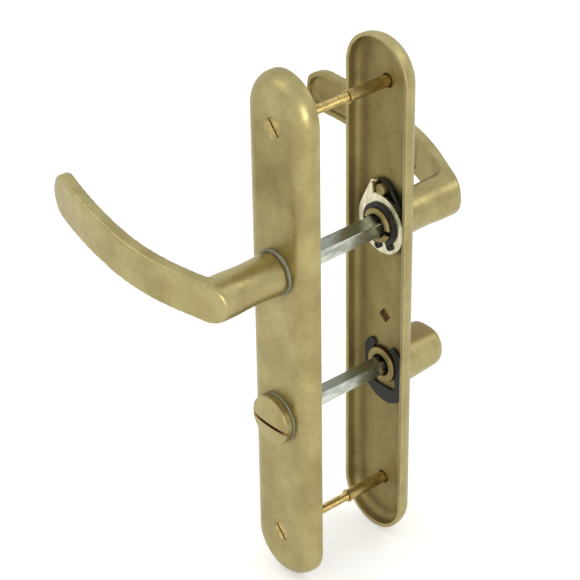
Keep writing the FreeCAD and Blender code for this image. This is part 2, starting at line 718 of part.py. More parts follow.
def make_stop_plate():
    """The teardrop plate on the spigot, whose upturned tab lies against the stud at rest."""
    body = new_body("outer_stop_plate")
    radius = size("stop_plate_radius")
    reach = size("stop_lug_reach")
    edge_x = -(size("stop_pin_radius") + size("end_play") / 2)
    tip_angle = math.radians(90 + size("stop_lug_angle"))
    tip = (reach * math.cos(tip_angle), reach * math.sin(tip_angle))
    shoulder = (edge_x, math.sqrt(reach ** 2 - edge_x ** 2))
    root_angle = math.acos(edge_x / radius)
    root = (edge_x, radius * math.sin(root_angle))
    tangent_angle = tip_angle + math.acos(radius / reach)
    tangent = (radius * math.cos(tangent_angle), radius * math.sin(tangent_angle))
    outline = sketch_in(body, "stop_outline", out=f"{STOP_OUT}")
    low_angle = (tangent_angle + root_angle + 2 * math.pi) / 2
    low = (radius * math.cos(low_angle), radius * math.sin(low_angle))
    outline.addGeometry(Part.Arc(point(*at_rest(*tangent)), point(*at_rest(*low)), point(*at_rest(*root))), False)
    for start, end in ((root, shoulder), (shoulder, tip), (tip, tangent)):
        outline.addGeometry(Part.LineSegment(point(*at_rest(*start)), point(*at_rest(*end))), False)
    plate = pad(body, outline, "stop_blank", "Sizes.stop_plate_thickness")
    plate.Refine = True
    tab = sketch_in(body, "tab_outline", out=f"{STOP_OUT - size('stop_tab_height')}")
    left = edge_x - size("stop_tab_thickness")
    inset = size("stop_tab_inset")
    corners = [(left, root[1] + inset), (edge_x, root[1] + inset), (edge_x, shoulder[1] - inset),
               (left, shoulder[1] - inset)]
    add_lines(tab, [at_rest(*corner) for corner in corners])
    pad(body, tab, "stop_tab", "Sizes.stop_tab_height + Sizes.stop_plate_thickness / 2")
    bore = sketch_in(body, "stop_bore", out=f"{STOP_OUT - OVERRUN}")
    hole = size("lever_spigot_radius") + size("fit_clearance")
    key = size("cross_slot_width") / 2 - size("fit_clearance")
    inner = size("lever_spigot_radius") - size("circlip_groove_depth")
    flank = math.asin(key / hole)
    up = FreeCAD.Vector(0, 0, 1)
    circle = Part.Circle(point(0, 0), up, hole)
    bore.addGeometry(Part.ArcOfCircle(circle, flank, math.pi - flank), False)
    bore.addGeometry(Part.ArcOfCircle(circle, math.pi + flank, 2 * math.pi - flank), False)
    for side in (1, -1):
        x_bore = side * hole * math.cos(flank)
        x_key = side * inner
        bore.addGeometry(Part.LineSegment(point(x_bore, key), point(x_key, key)), False)
        bore.addGeometry(Part.LineSegment(point(x_key, key), point(x_key, -key)), False)
        bore.addGeometry(Part.LineSegment(point(x_key, -key), point(x_bore, -key)), False)
    checked_cut(body, pocket(body, bore, "stop_bore_cut", f"Sizes.stop_plate_thickness + {2 * OVERRUN}", reverse=True))
    turn_with_lever(body)
    return keep(body)


def make_spring():
    """The flat wound return spring of flat wire: its inner end in the spigot's cross slot, one
    and a half turns round the spigot, and a hook over the stud. It is drawn in the frame of the
    resting lever."""
    body = new_body("outer_return_spring")
    coil = size("spring_inner_radius")
    bend = size("spring_bend_radius")
    middle_top = size("spring_middle_top")
    outer_bottom = size("spring_outer_bottom")
    outer = size("spring_outer_radius")
    tang = size("lever_spindle_side") / 2 + size("spring_tang_setback")
    path = sketch_in(body, "spring_path", out=f"{SPRING_OUT}")
    along = math.sqrt((coil - bend) ** 2 - bend ** 2)
    lean = math.asin(bend / (coil - bend))
    path.addGeometry(Part.LineSegment(point(-tang, 0), point(-along, 0)), False)
    half = (lean - math.pi / 2) / 2
    path.addGeometry(Part.Arc(point(-along, 0), point(-along - bend * math.cos(half), -bend - bend * math.sin(half)),
                              point(-coil * math.cos(lean), -coil * math.sin(lean))), False)
    half = (lean + math.pi / 2) / 2
    path.addGeometry(Part.Arc(point(-coil * math.cos(lean), -coil * math.sin(lean)),
                              point(-coil * math.cos(half), -coil * math.sin(half)), point(0, -coil)), False)
    heights = [(-coil, middle_top, 1), (middle_top, -outer_bottom, -1)]
    for start, end, side in heights:
        radius = abs(start - end) / 2
        middle = (start + end) / 2
        path.addGeometry(Part.Arc(point(0, start), point(side * radius, middle), point(0, end)), False)
    hook = size("stop_pin_radius") + size("fit_clearance") + size("spring_wire_width") / 2
    stud = at_rest(0, size("stop_pin_height"))
    centre = outer - outer_bottom
    away = math.hypot(stud[0], stud[1] - centre)
    leave = math.atan2(stud[1] - centre, stud[0]) - math.acos((outer - hook) / away)
    exit_point = (outer * math.cos(leave), centre + outer * math.sin(leave))
    half = (leave - math.pi / 2) / 2
    path.addGeometry(Part.Arc(point(0, -outer_bottom), point(outer * math.cos(half), centre + outer * math.sin(half)),
                              point(*exit_point)), False)
    reach = (stud[0] + hook * math.cos(leave), stud[1] + hook * math.sin(leave))
    path.addGeometry(Part.LineSegment(point(*exit_point), point(*reach)), False)
    last = math.radians(size("spring_hook_end"))
    over = (leave + last) / 2
    path.addGeometry(Part.Arc(point(*reach), point(stud[0] + hook * math.cos(over), stud[1] + hook * math.sin(over)),
                              point(stud[0] + hook * math.cos(last), stud[1] + hook * math.sin(last))), False)
    section = sketch_in(body, "spring_section", "YZ_Plane", out=f"{-tang}")
    wide = size("spring_wire_width") / 2
    thick = size("spring_wire_thickness") / 2
    add_lines(section, [(-SPRING_OUT - thick, -wide), (-SPRING_OUT + thick, -wide), (-SPRING_OUT + thick, wide),
                        (-SPRING_OUT - thick, wide)])
    doc.recompute()
    wire = body.newObject("PartDesign::AdditivePipe", "spring_coil")
    wire.Profile = section
    wire.Spine = (path, [f"Edge{number + 1}" for number in range(len(path.Geometry))])
    section.Visibility = False
    path.Visibility = False
    turn_with_lever(body)
    return keep(body)


def make_washer(label, inner_alias, outer_alias, thickness, angle=0.0):
    """A flat washer between a plate and what turns in it."""
    body = new_body(label, axis=(0, 0, 1), angle=angle)
    outline = sketch_in(body, "washer_outline", out="Sizes.door_thickness / 2 + Sizes.plate_depth")
    add_circle(outline, f"Sizes.{outer_alias}", size(outer_alias))
    add_circle(outline, f"Sizes.{inner_alias} + 2 * Sizes.fit_clearance", size(inner_alias) + 2 * size("fit_clearance"))
    pad(body, outline, "washer_disc", f"Sizes.{thickness}")
    return keep(body)


def make_spindle(label, side_alias, outer_end, inner_end):
    """A square bar with its long edges broken, through the lock."""
    body = new_body(label)
    outline = sketch_in(body, "bar_section", out=str(-inner_end))
    half = size(side_alias) / 2
    add_lines(outline, [(-half, -half), (half, -half), (half, half), (-half, half)])
    bar = pad(body, outline, "bar", str(outer_end + inner_end))
    doc.recompute()
    names = [f"Edge{index}" for index, edge in enumerate(bar.Shape.Edges, start=1)
             if edge.Length > size(side_alias) * 1.5]
    chamfer = body.newObject("PartDesign::Chamfer", "edge_break")
    chamfer.Base = (bar, names)
    chamfer.setExpression("Size", "Sizes.spindle_edge_break")
    return keep(body)


def make_grub(label, radius_alias, out, seat, surface):
    """A headless socket screw, standing on the spindle's lower face."""
    body = new_body(label)
    top = -(seat)
    length = surface - size("grub_recess") - seat
    outline = sketch_in(body, "grub_outline", "XY_Plane", out=str(top - length))
    radius = size(radius_alias)
    up = FreeCAD.Vector(0, 0, 1)
    outline.addGeometry(Part.Circle(point(0, -out), up, radius), False)
    pad(body, outline, "grub_shank", str(length))
    socket = sketch_in(body, "grub_socket", "XY_Plane", out=str(top - length))
    wide = size("grub_socket_radius")
    corners = []
    for step in range(6):
        angle = math.radians(60 * step)
        corners.append((wide * math.cos(angle), -out + wide * math.sin(angle)))
    add_lines(socket, corners)
    checked_cut(body, pocket(body, socket, "grub_socket_cut", "Sizes.grub_socket_depth", reverse=True))
    return keep(body)


# Turn and emergency release

def turn_spigot_outline():
    """Half outline, (radius, out), of the spigot that both ends of the turn have."""
    radius = size("turn_spigot_radius")
    ring = size("turn_ring_out")
    groove = size("turn_groove_radius")
    shoulder = ring + size("turn_ring_thickness")
    end = spigot_end_outline(ring, radius, size("turn_ring_round"), size("turn_spigot_opening"))
    return end + [(radius, shoulder), (groove, shoulder), (groove, FLOOR_OUT), (radius, FLOOR_OUT)]


def square_pocket(body, depth):
    """The square hole for the thinner bar, from the end of the spigot."""
    square = sketch_in(body, "square_outline", out=f"Sizes.turn_ring_out - {OVERRUN}")
    side = (size("turn_spindle_side") + size("fit_clearance")) / 2
    add_lines(square, [(-side, -side), (side, -side), (side, side), (-side, side)])
    checked_cut(body, pocket(body, square, "square_bore", str(depth + OVERRUN), reverse=True))


def make_release():
    """The slotted button outside, which opens the lock in an emergency."""
    body = new_body("release_button")
    radius = size("release_radius")
    edge = size("release_edge_round")
    face = BUTTON_OUT + size("release_height")
    crown = size("release_crown")
    flat = radius - edge
    outline = turn_spigot_outline()
    outline += [(size("turn_spigot_radius"), BUTTON_OUT), (radius, BUTTON_OUT), (radius, face - edge),
                quarter_round((radius, face - edge), (radius, face), (flat, face)),
                (0, face + crown, (flat / 2, face + 3 / 4 * crown))]
    turned(body, "button_turned", outline)
    slot = sketch_in(body, "slot_outline", "XY_Plane", out=str(-size("release_slot_drop")))
    cutter = size("release_slot_cutter_radius")
    middle = face + crown - size("release_slot_depth") + cutter
    slot.addGeometry(Part.Circle(point(0, -middle), FreeCAD.Vector(0, 0, 1), cutter), False)
    checked_cut(body, pocket_both(body, slot, "slot_cut", "Sizes.release_slot_width"))
    depth = size("release_bore_floor") - size("turn_ring_out")
    square_pocket(body, depth)
    drop_to_turn(body)
    return keep(body)


def knob_flat_height(out):
    """How far the finger flats stand from the knob's axis, at a distance out."""
    start = NECK_OUT + size("knob_flat_start")
    last = NECK_OUT + size("knob_length") + size("knob_crown")
    share = (out - start) / (last - start)
    return size("knob_flat_at_start") + share * (size("knob_flat_at_end") - size("knob_flat_at_start"))


def make_thumb_turn():
    """The tapered knob inside, with two finger flats that close towards its end."""
    body = new_body("thumb_turn", axis=(0, 0, 1), angle=180)
    end = NECK_OUT + size("knob_length")
    base_radius = size("knob_base_radius")
    end_radius = size("knob_end_radius")
    outline = turn_spigot_outline() + [(size("turn_spigot_radius"), NECK_OUT), (base_radius, NECK_OUT),
                                       (end_radius, end), (0, end + size("knob_crown"))]
    knob = turned(body, "knob_turned", outline)
    doc.recompute()
    round_edges(body, knob, "knob_edge", edges_at(knob.Shape, "Y", -end), "Sizes.knob_edge_round")
    doc.recompute()
    flats = sketch_in(body, "flats_outline", "YZ_Plane")
    start_out = NECK_OUT + size("knob_flat_start")
    last = end + size("knob_crown")
    beyond = base_radius + OVERRUN
    for side in (1, -1):
        add_lines(flats, [(-start_out, side * knob_flat_height(start_out)), (-last, side * knob_flat_height(last)),
                          (-last, side * beyond), (-start_out, side * beyond)])
    checked_cut(body, pocket_both(body, flats, "finger_flats", "4 * Sizes.knob_base_radius"))
    square_pocket(body, size("turn_spindle_inner_end") + size("end_play") - size("turn_ring_out"))
    grub = sketch_in(body, "knob_grub_outline", "XY_Plane", out=str(-beyond))
    grub.addGeometry(Part.Circle(point(0, -size("knob_grub_out")), FreeCAD.Vector(0, 0, 1),
                                 size("knob_grub_radius") + size("fit_clearance") / 2), False)
    checked_cut(body, pocket(body, grub, "knob_grub_hole", f"Sizes.knob_base_radius + {OVERRUN}", reverse=True))
    drop_to_turn(body)
    return keep(body)


def make_clip(label, angle):
    """The horseshoe clip that straddles the groove of the turn's spigot, with leaf-shaped ends.
    It lies a little askew, as far as its play in the groove lets it."""
    body = new_body(label, axis=(0, 0, 1), angle=angle)
    outline = sketch_in(body, "clip_outline", out=str(size("turn_ring_out") + size("turn_ring_thickness")
                                                     + size("end_play") / 2))
    half = size("clip_half_width")
    bottom = -size("clip_bottom")
    big = size("clip_bottom_radius")
    mouth = size("turn_groove_radius") + size("running_clearance") + size("clip_shift")
    rise = size("clip_window_rise")
    floor = -size("clip_window_bottom")
    corner = size("clip_window_corner")
    tip = (size("clip_tip_outer"), size("clip_tip_height"))
    inner = size("clip_tip_inner")
    inner_height = rise + math.sqrt(mouth ** 2 - inner ** 2)
    flank = bottom + big - math.sqrt(big ** 2 - half ** 2)
    side_top = size("clip_side_top")
    bulge = ((half + tip[0]) / 2 + (tip[1] - side_top) / 6, (side_top + tip[1]) / 2 + (half - tip[0]) / 6)
    leaf = (tip[0] - (tip[0] - inner) * 2 / 3, tip[1])
    swing = math.asin(inner / mouth) / 2 + math.pi / 4
    inner_via = (mouth * math.sin(swing), rise + mouth * math.cos(swing))
    nook = corner * (1 - math.sqrt(0.5))
    steps = [((half, flank), None, (half, side_top)), ((half, side_top), bulge, tip),
             (tip, leaf, (inner, inner_height)), ((inner, inner_height), inner_via, (mouth, rise)),
             ((mouth, rise), None, (mouth, floor + corner)),
             ((mouth, floor + corner), (mouth - nook, floor + nook), (mouth - corner, floor))]
    turn = math.radians(size("clip_turn"))

    def askew(place):
        x = place[0] * math.cos(turn) + place[1] * math.sin(turn) - size("clip_shift")
        return (x, place[1] * math.cos(turn) - place[0] * math.sin(turn))

    for side in (1, -1):
        turned_steps = []
        for step in steps:
            turned_steps.append(tuple(None if place is None else askew((side * place[0], place[1])) for place in step))
        add_trail(outline, turned_steps)
    across = [((mouth - corner, floor), None, (corner - mouth, floor)), ((-half, flank), (0, bottom), (half, flank))]
    add_trail(outline, [tuple(None if place is None else askew(place) for place in step) for step in across])
    thickness = FLOOR_OUT - size("turn_ring_out") - size("turn_ring_thickness") - size("end_play") / 2
    pad(body, outline, "clip_blank", str(thickness))
    drop_to_turn(body)
    return keep(body)


# Through bolts

def driver_slot(body, top, head):
    """The slot for a screwdriver across a head."""
    slot = sketch_in(body, "slot_outline", out=str(top - size("screw_slot_depth")))
    half = size("screw_slot_width") / 2
    add_lines(slot, [(-2 * head, -half), (2 * head, -half), (2 * head, half), (-2 * head, half)])
    checked_cut(body, pocket(body, slot, "slot_cut", f"Sizes.screw_slot_depth + {OVERRUN}", reverse=True))


def make_screw(label, height):
    """A slotted countersunk screw through the outer plate."""
    body = new_body(label)
    head = size("screw_head_radius")
    land = size("screw_head_land")
    shank = size("screw_radius")
    top = FACE_OUT - size("screw_head_sink")
    end = top - size("screw_length")
    chamfer = size("screw_end_chamfer")
    turned(body, "screw_turned", [(0, top), (head, top), (head, top - land), (shank, top - land - head + shank),
                                  (shank, end + chamfer), (shank - chamfer, end), (0, end)])
    driver_slot(body, top, head)
    body.setExpression("Placement.Base.z", height)
    return keep(body)


def make_sleeve(label, height):
    """The sleeve nut from the inner plate that the screw runs into."""
    body = new_body(label, axis=(0, 0, 1), angle=180)
    head = size("screw_head_radius")
    land = size("screw_head_land")
    shank = size("sleeve_radius")
    rim = size("sleeve_rim_radius")
    bore = size("screw_radius") + size("fit_clearance") / 2
    top = FACE_OUT - size("screw_head_sink")
    mouth = top - size("sleeve_length")
    rim_end = mouth + size("sleeve_rim_length")
    floor = mouth + size("sleeve_bore_length")
    turned(body, "sleeve_turned", [(0, top), (head, top), (head, top - land), (shank, top - land - head + shank),
                                   (shank, rim_end), (rim, rim_end), (rim, mouth), (bore, mouth), (bore, floor),
                                   (0, floor)])
    driver_slot(body, top, head)
    body.setExpression("Placement.Base.z", height)
    return keep(body)


make_plate("outer_backplate", "screw", 0)
make_plate("inner_backplate", "sleeve", 180)
mirrored(make_stop_pin(), "inner_stop_pin")
mirrored(make_washer("outer_neck_washer", "lever_spigot_radius", "neck_washer_radius", "washer_thickness"),
         "inner_neck_washer")
mirrored(make_lever(), "inner_lever")
mirrored(make_stop_plate(), "inner_stop_plate")
mirrored(make_circlip(), "inner_lever_circlip")
mirrored(make_spring(), "inner_return_spring")

lever_bar = make_spindle("lever_spindle", "lever_spindle_side", size("lever_spindle_length") / 2,
                         size("lever_spindle_length") / 2)
turn_with_lever(lever_bar)
lever_grub = make_grub("outer_lever_grub", "grub_radius", size("grub_out"), size("lever_spindle_side") / 2,
                       size("neck_waist_radius"))
turn_with_lever(lever_grub)
mirrored(lever_grub, "inner_lever_grub")

turn_bar = make_spindle("turn_spindle", "turn_spindle_side", size("turn_spindle_outer_end"),
                        size("turn_spindle_inner_end"))
drop_to_turn(turn_bar)
make_release()
make_thumb_turn()
release_washer = make_washer("release_washer", "turn_spigot_radius", "release_washer_radius",
                             "release_washer_thickness")
drop_to_turn(release_washer)
thumb_washer = make_washer("thumb_turn_washer", "turn_spigot_radius", "turn_washer_radius", "washer_thickness", 180)
drop_to_turn(thumb_washer)
make_clip("release_clip", 0)
make_clip("thumb_turn_clip", 180)
knob_grub = make_grub("thumb_turn_grub", "knob_grub_radius", size("knob_grub_out"), size("turn_spindle_side") / 2,
                      knob_flat_height(size("knob_grub_out")))
knob_grub.Placement = FreeCAD.Placement(FreeCAD.Vector(), FreeCAD.Rotation(FreeCAD.Vector(0, 0, 1), 180))
drop_to_turn(knob_grub)

make_screw("upper_screw", UPPER_FIXING)
make_screw("lower_screw", LOWER_FIXING)
make_sleeve("upper_sleeve_nut", UPPER_FIXING)
make_sleeve("lower_sleeve_nut", LOWER_FIXING)

doc.recompute()
for obj in doc.Objects:
    if "Invalid" in obj.State or "Error" in obj.State:
        raise RuntimeError(f"{obj.Label} failed: {obj.State}")
for part in PARTS:
    if part.Shape.isNull() or not part.Shape.isValid() or len(part.Shape.Solids) != 1:
        raise RuntimeError(f"{part.Label} is not one valid solid")

os.makedirs("parts", exist_ok=True)
for part in PARTS:
    part.Shape.exportStep(f"parts/{part.Label}.step")
    print(part.Label, round(part.Shape.Volume, 1))
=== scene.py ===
"""Looks of the lever handle set: finishes for every piece, cut threads, studio and camera."""

from __future__ import annotations

import logging
import math
from dataclasses import dataclass
from enum import Enum
from typing import Any

import bmesh
import bpy
import numpy as np
from mathutils import Matrix, Vector


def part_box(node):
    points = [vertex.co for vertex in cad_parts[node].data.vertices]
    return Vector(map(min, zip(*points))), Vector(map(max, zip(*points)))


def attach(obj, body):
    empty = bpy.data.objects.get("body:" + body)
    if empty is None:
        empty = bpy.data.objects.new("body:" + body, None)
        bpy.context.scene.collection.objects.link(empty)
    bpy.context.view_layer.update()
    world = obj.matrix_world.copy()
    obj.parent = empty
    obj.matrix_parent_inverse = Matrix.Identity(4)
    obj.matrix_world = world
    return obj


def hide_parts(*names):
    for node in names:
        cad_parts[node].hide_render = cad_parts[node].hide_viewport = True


LOG = logging.getLogger("lever_set")
MM = 0.001
MERGE_MM = 0.0005
# Brown of residue; it also paints shade in corners and spots the painted shade on door-facing faces.
RESIDUE_AND_SHADE = "5d4326"
NOISE_SPAN = (0.3, 0.7)
RAY_SAMPLES = 6

# Sockets of a Mix node that mixes colours
MIX_SHARE = 0
MIX_FIRST = 6
MIX_SECOND = 7
MIX_RESULT = 2

Tree = bpy.types.NodeTree
Socket = bpy.types.NodeSocket
Material = bpy.types.Material

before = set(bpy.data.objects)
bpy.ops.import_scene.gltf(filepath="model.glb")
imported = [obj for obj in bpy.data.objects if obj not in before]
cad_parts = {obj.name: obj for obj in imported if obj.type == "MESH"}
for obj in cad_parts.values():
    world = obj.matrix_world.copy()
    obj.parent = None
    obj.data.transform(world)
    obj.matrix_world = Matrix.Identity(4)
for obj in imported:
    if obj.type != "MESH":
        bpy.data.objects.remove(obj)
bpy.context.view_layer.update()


class Body(Enum):
    """The frame's bodies, which the pieces ride on."""

    PLATES = "plates"
    LEVERS = "levers"
    TURN = "turn"


class Side(Enum):
    """The two sides of the door, by the sign of a distance from its middle."""

    OUTER = -1.0
    INNER = 1.0


# Colour and node helpers

def linear(hex_colour: str) -> tuple[float, float, float, float]:
    """Turn an sRGB hex colour into linear red, green, blue and alpha.

    Args:
        hex_colour: six hex digits.

    Returns:
        The colour with each channel through the sRGB curve, and an alpha of 1.
    """
    channels = [int(hex_colour[start:start + 2], 16) / 255 for start in (0, 2, 4)]
    curved = [value / 12.92 if value <= 0.04045 else ((value + 0.055) / 1.055) ** 2.4 for value in channels]
    return (curved[0], curved[1], curved[2], 1.0)


def add_node(tree: Tree, kind: str, settings: dict[str, Any] | None = None,
             inputs: dict[Any, Any] | None = None) -> bpy.types.Node:
    """Add a shader node with its settings, values and links.

    Args:
        tree: the node tree that takes the node.
        kind: the node's class name.
        settings: attributes of the node itself.
        inputs: value or output socket for each input, by its name or number.

    Returns:
        The new node.
    """
    node = tree.nodes.new(kind)
    for name, value in (settings or {}).items():
        setattr(node, name, value)
    for key, value in (inputs or {}).items():
        if isinstance(value, Socket):
            tree.links.new(value, node.inputs[key])
        else:
            node.inputs[key].default_value = value
    return node


def new_material(name: str) -> tuple[Material, Tree]:
    """Make an empty node material.

    Args:
        name: the finish's name.

    Returns:
        The material and its cleared tree.
    """
    material = bpy.data.materials.new(name)
    material.use_nodes = True
    material.node_tree.nodes.clear()
    return material, material.node_tree


def shape_noise(tree: Tree, place: Socket, size_mm: float, detail: float = 3.0,
                roughness: float = 0.55) -> Socket:
    """Noise of one real size: on coordinates in metres its scale is one over that size.

    Args:
        tree: the material's tree.
        place: the coordinates to read.
        size_mm: the size of its largest features.
        detail: how many finer layers it has.
        roughness: how strong the finer layers are.

    Returns:
        The noise's value socket, mostly within NOISE_SPAN.
    """
    inputs = {"Vector": place, "Scale": 1.0 / (size_mm * MM), "Detail": detail, "Roughness": roughness}
    return add_node(tree, "ShaderNodeTexNoise", {"noise_dimensions": "3D"}, inputs).outputs["Fac"]


def remap(tree: Tree, value: Socket, low: float, high: float, start: float = 0.0,
          end: float = 1.0) -> Socket:
    """Map a value from one range to another, clamped.

    Args:
        tree: the material's tree.
        value: the socket to map.
        low: the input that gives start.
        high: the input that gives end.
        start: the result at low.
        end: the result at high.

    Returns:
        The mapped value's socket.
    """
    node = add_node(tree, "ShaderNodeMapRange", {"clamp": True},
                    {"Value": value, "From Min": low, "From Max": high, "To Min": start, "To Max": end})
    return node.outputs["Result"]


def mix_colour(tree: Tree, share: Socket, first: Socket | str, second: Socket | str) -> Socket:
    """Mix two colours by a share.

    Args:
        tree: the material's tree.
        share: 0 for the first colour and 1 for the second.
        first: a colour's socket or its hex digits.
        second: a colour's socket or its hex digits.

    Returns:
        The mixed colour's socket.
    """
    inputs = {MIX_SHARE: share}
    for key, colour in ((MIX_FIRST, first), (MIX_SECOND, second)):
        inputs[key] = linear(colour) if isinstance(colour, str) else colour
    return add_node(tree, "ShaderNodeMix", {"data_type": "RGBA"}, inputs).outputs[MIX_RESULT]


def calculate(tree: Tree, operation: str, first: Any, second: Any = 0.0) -> Socket:
    """One step of arithmetic between sockets or numbers.

    Args:
        tree: the material's tree.
        operation: the Math node's operation.
        first: the first socket or number.
        second: the second socket or number.

    Returns:
        The result's socket.
    """
    node = add_node(tree, "ShaderNodeMath", {"operation": operation}, {0: first, 1: second})
    return node.outputs["Value"]


def object_place(tree: Tree) -> Socket:
    """The Object coordinates, which are metres in the shared frame."""
    return add_node(tree, "ShaderNodeTexCoord").outputs["Object"]


def stretched_place(tree: Tree, stretch: tuple[float, float, float]) -> Socket:
    """Object coordinates scaled by axis, so that a pattern runs long along one of them."""
    node = add_node(tree, "ShaderNodeMapping", {"vector_type": "POINT"},
                    {"Vector": object_place(tree), "Scale": stretch})
    return node.outputs["Vector"]


def split(tree: Tree, vector: Socket) -> tuple[Socket, Socket, Socket]:
    """The X, Y and Z of a vector."""
    node = add_node(tree, "ShaderNodeSeparateXYZ", None, {"Vector": vector})
    return node.outputs["X"], node.outputs["Y"], node.outputs["Z"]


def surface_normal(tree: Tree) -> tuple[Socket, Socket, Socket]:
    """The X, Y and Z of the surface's direction in the shared frame."""
    return split(tree, add_node(tree, "ShaderNodeTexCoord").outputs["Normal"])


def flat_distance(tree: Tree, first: Socket, second: Socket) -> Socket:
    """The root of the sum of two squares, which is a distance in a plane."""
    squares = [calculate(tree, "POWER", side, 2.0) for side in (first, second)]
    return calculate(tree, "SQRT", calculate(tree, "ADD", *squares))


def band(tree: Tree, value: Socket, middle: float, half: float, soft: float) -> Socket:
    """A share that is 1 within half of a middle value and falls to 0 over a soft edge.

    Args:
        tree: the material's tree.
        value: the socket to test, such as one coordinate in metres.
        middle: the middle of the band.
        half: how far the band reaches to each side.
        soft: the width of its soft edge.

    Returns:
        The share's socket.
    """
    away = calculate(tree, "ABSOLUTE", calculate(tree, "SUBTRACT", value, middle))
    return remap(tree, away, half, half + soft, 1.0, 0.0)


def upward(tree: Tree, span: tuple[float, float], share: float) -> Socket:
    """A share on faces that look up, which grows as their direction rises through a span."""
    return remap(tree, surface_normal(tree)[2], *span, 0.0, share)


def rounded_normal(tree: Tree, radius_mm: float) -> Socket:
    """The surface's direction as if every edge had a small round."""
    node = add_node(tree, "ShaderNodeBevel", {"samples": RAY_SAMPLES}, {"Radius": radius_mm * MM})
    return node.outputs["Normal"]


def edge_highlight_mask(tree: Tree, rounded: Socket, span: tuple[float, float], share: float) -> Socket:
    """A share on edges for a painted highlight, where the rounded direction leaves the flat one.

    Args:
        tree: the material's tree.
        rounded: the rounded direction.
        span: the cosine between the two directions at which the highlight starts, and where it is full.
        share: the full highlight.

    Returns:
        The share's socket.
    """
    flat = add_node(tree, "ShaderNodeNewGeometry").outputs["Normal"]
    along = add_node(tree, "ShaderNodeVectorMath", {"operation": "DOT_PRODUCT"}, {0: rounded, 1: flat})
    return remap(tree, along.outputs["Value"], *span, 0.0, share)


def relief(tree: Tree, strength: float, height_mm: float, height: Socket,
           normal: Socket | None = None) -> Socket:
    """The surface's direction with a fine relief.

    Args:
        tree: the material's tree.
        strength: how much of the relief shows.
        height_mm: how high it stands.
        height: its pattern.
        normal: the direction that it starts from, where it isn't the surface's own.

    Returns:
        The direction's socket.
    """
    inputs = {"Strength": strength, "Distance": height_mm * MM, "Height": height}
    if normal:
        inputs["Normal"] = normal
    return add_node(tree, "ShaderNodeBump", None, inputs).outputs["Normal"]


def finish_surface(tree: Tree, inputs: dict[str, Any]) -> None:
    """Close a material with its Principled shader.

    Args:
        tree: the material's tree.
        inputs: values and sockets of the shader.
    """
    shader = add_node(tree, "ShaderNodeBsdfPrincipled", None, inputs)
    add_node(tree, "ShaderNodeOutputMaterial", None, {"Surface": shader.outputs["BSDF"]})


# Finishes

@dataclass(frozen=True)
class Stain:
    """Where brown residue, black grease or painted shade lies on a casting.

    It fills a box across the plate, up the plate and in depth, or with round set a disc of
    half_height's radius. With inside set it lies only where shade is painted on the faces
    towards the door and on the hollow's walls. Sizes are in millimetres, and the depth counts
    from the middle of the door.
    """

    height: float
    half_height: float
    depth: float
    half_depth: float
    across: float = 0.0
    half_across: float = 20.0
    soft: float = 0.1
    depth_soft: float = 0.1
    share: float = 0.85
    round: bool = False
    inside: bool = False
    colour: str = RESIDUE_AND_SHADE

    def share_on(self, tree: Tree, door_side_shade: Socket) -> Socket:
        """The stain's share.

        Args:
            tree: the material's tree.
            door_side_shade: the share of painted shade on the faces towards the door.

        Returns:
            The share's socket.
        """
        across, out, height = split(tree, object_place(tree))
        deep = band(tree, calculate(tree, "ABSOLUTE", out), self.depth * MM, self.half_depth * MM,
                    self.depth_soft * MM)
        flat = self._flat(tree, across, height)
        share = calculate(tree, "MULTIPLY", calculate(tree, "MULTIPLY", flat, deep), self.share)
        return calculate(tree, "MULTIPLY", share, door_side_shade) if self.inside else share

    def _flat(self, tree: Tree, across: Socket, height: Socket) -> Socket:
        """The stain's share in the plate's plane, on a disc or a rectangle round its middle.

        Args:
            tree: the material's tree.
            across: the coordinate across the plate.
            height: the coordinate up the plate.

        Returns:
            The share's socket.
        """
        if self.round:
            away = flat_distance(tree, calculate(tree, "SUBTRACT", across, self.across * MM),
                                 calculate(tree, "SUBTRACT", height, self.height * MM))
            return remap(tree, away, self.half_height * MM, (self.half_height + self.soft) * MM, 1.0, 0.0)
        high = band(tree, height, self.height * MM, self.half_height * MM, self.soft * MM)
        wide = band(tree, across, self.across * MM, self.half_across * MM, self.soft * MM)
        return calculate(tree, "MULTIPLY", high, wide)


@dataclass(frozen=True)
class Hollow:
    """The inside of a backplate: its outline is a long bar with round ends.

    Lengths are in millimetres, and depths count from the middle of the door. The walls end
    where the plate's outer round begins to draw in.
    """

    half_width: float
    top: float
    bottom: float
    wall: float = 1.25
    wall_soft: float = 0.1
    rim_depth: float = 22.4
    rim_soft: float = 0.2
    wall_depth: float = 27.2

    def limit(self, tree: Tree, door_side_shade: Socket) -> Socket:
        """Add the hollow's walls to the share of painted shade, and keep it off the rim.

        How far a point lies inside the outline is the half width less its distance from the
        middle line, or past that line's ends from the end.

        Args:
            tree: the material's tree.
            door_side_shade: the share of painted shade on the faces towards the door.

        Returns:
            The limited share's socket.
        """
        across, out, height = split(tree, object_place(tree))
        depth = calculate(tree, "ABSOLUTE", out)
        over = calculate(tree, "SUBTRACT", height, (self.top - self.half_width) * MM)
        under = calculate(tree, "SUBTRACT", (self.bottom + self.half_width) * MM, height)
        beyond = calculate(tree, "MAXIMUM", calculate(tree, "MAXIMUM", over, under), 0.0)
        inset = calculate(tree, "SUBTRACT", self.half_width * MM, flat_distance(tree, across, beyond))
        within = remap(tree, inset, (self.wall - self.wall_soft) * MM, self.wall * MM)
        shallow = remap(tree, depth, (self.wall_depth - self.wall_soft) * MM, self.wall_depth * MM,
                        1.0, 0.0)
        walled = calculate(tree, "MAXIMUM", door_side_shade, calculate(tree, "MULTIPLY", within, shallow))
        past_rim = remap(tree, depth, (self.rim_depth - self.rim_soft) * MM, self.rim_depth * MM)
        return calculate(tree, "MULTIPLY", walled, past_rim)


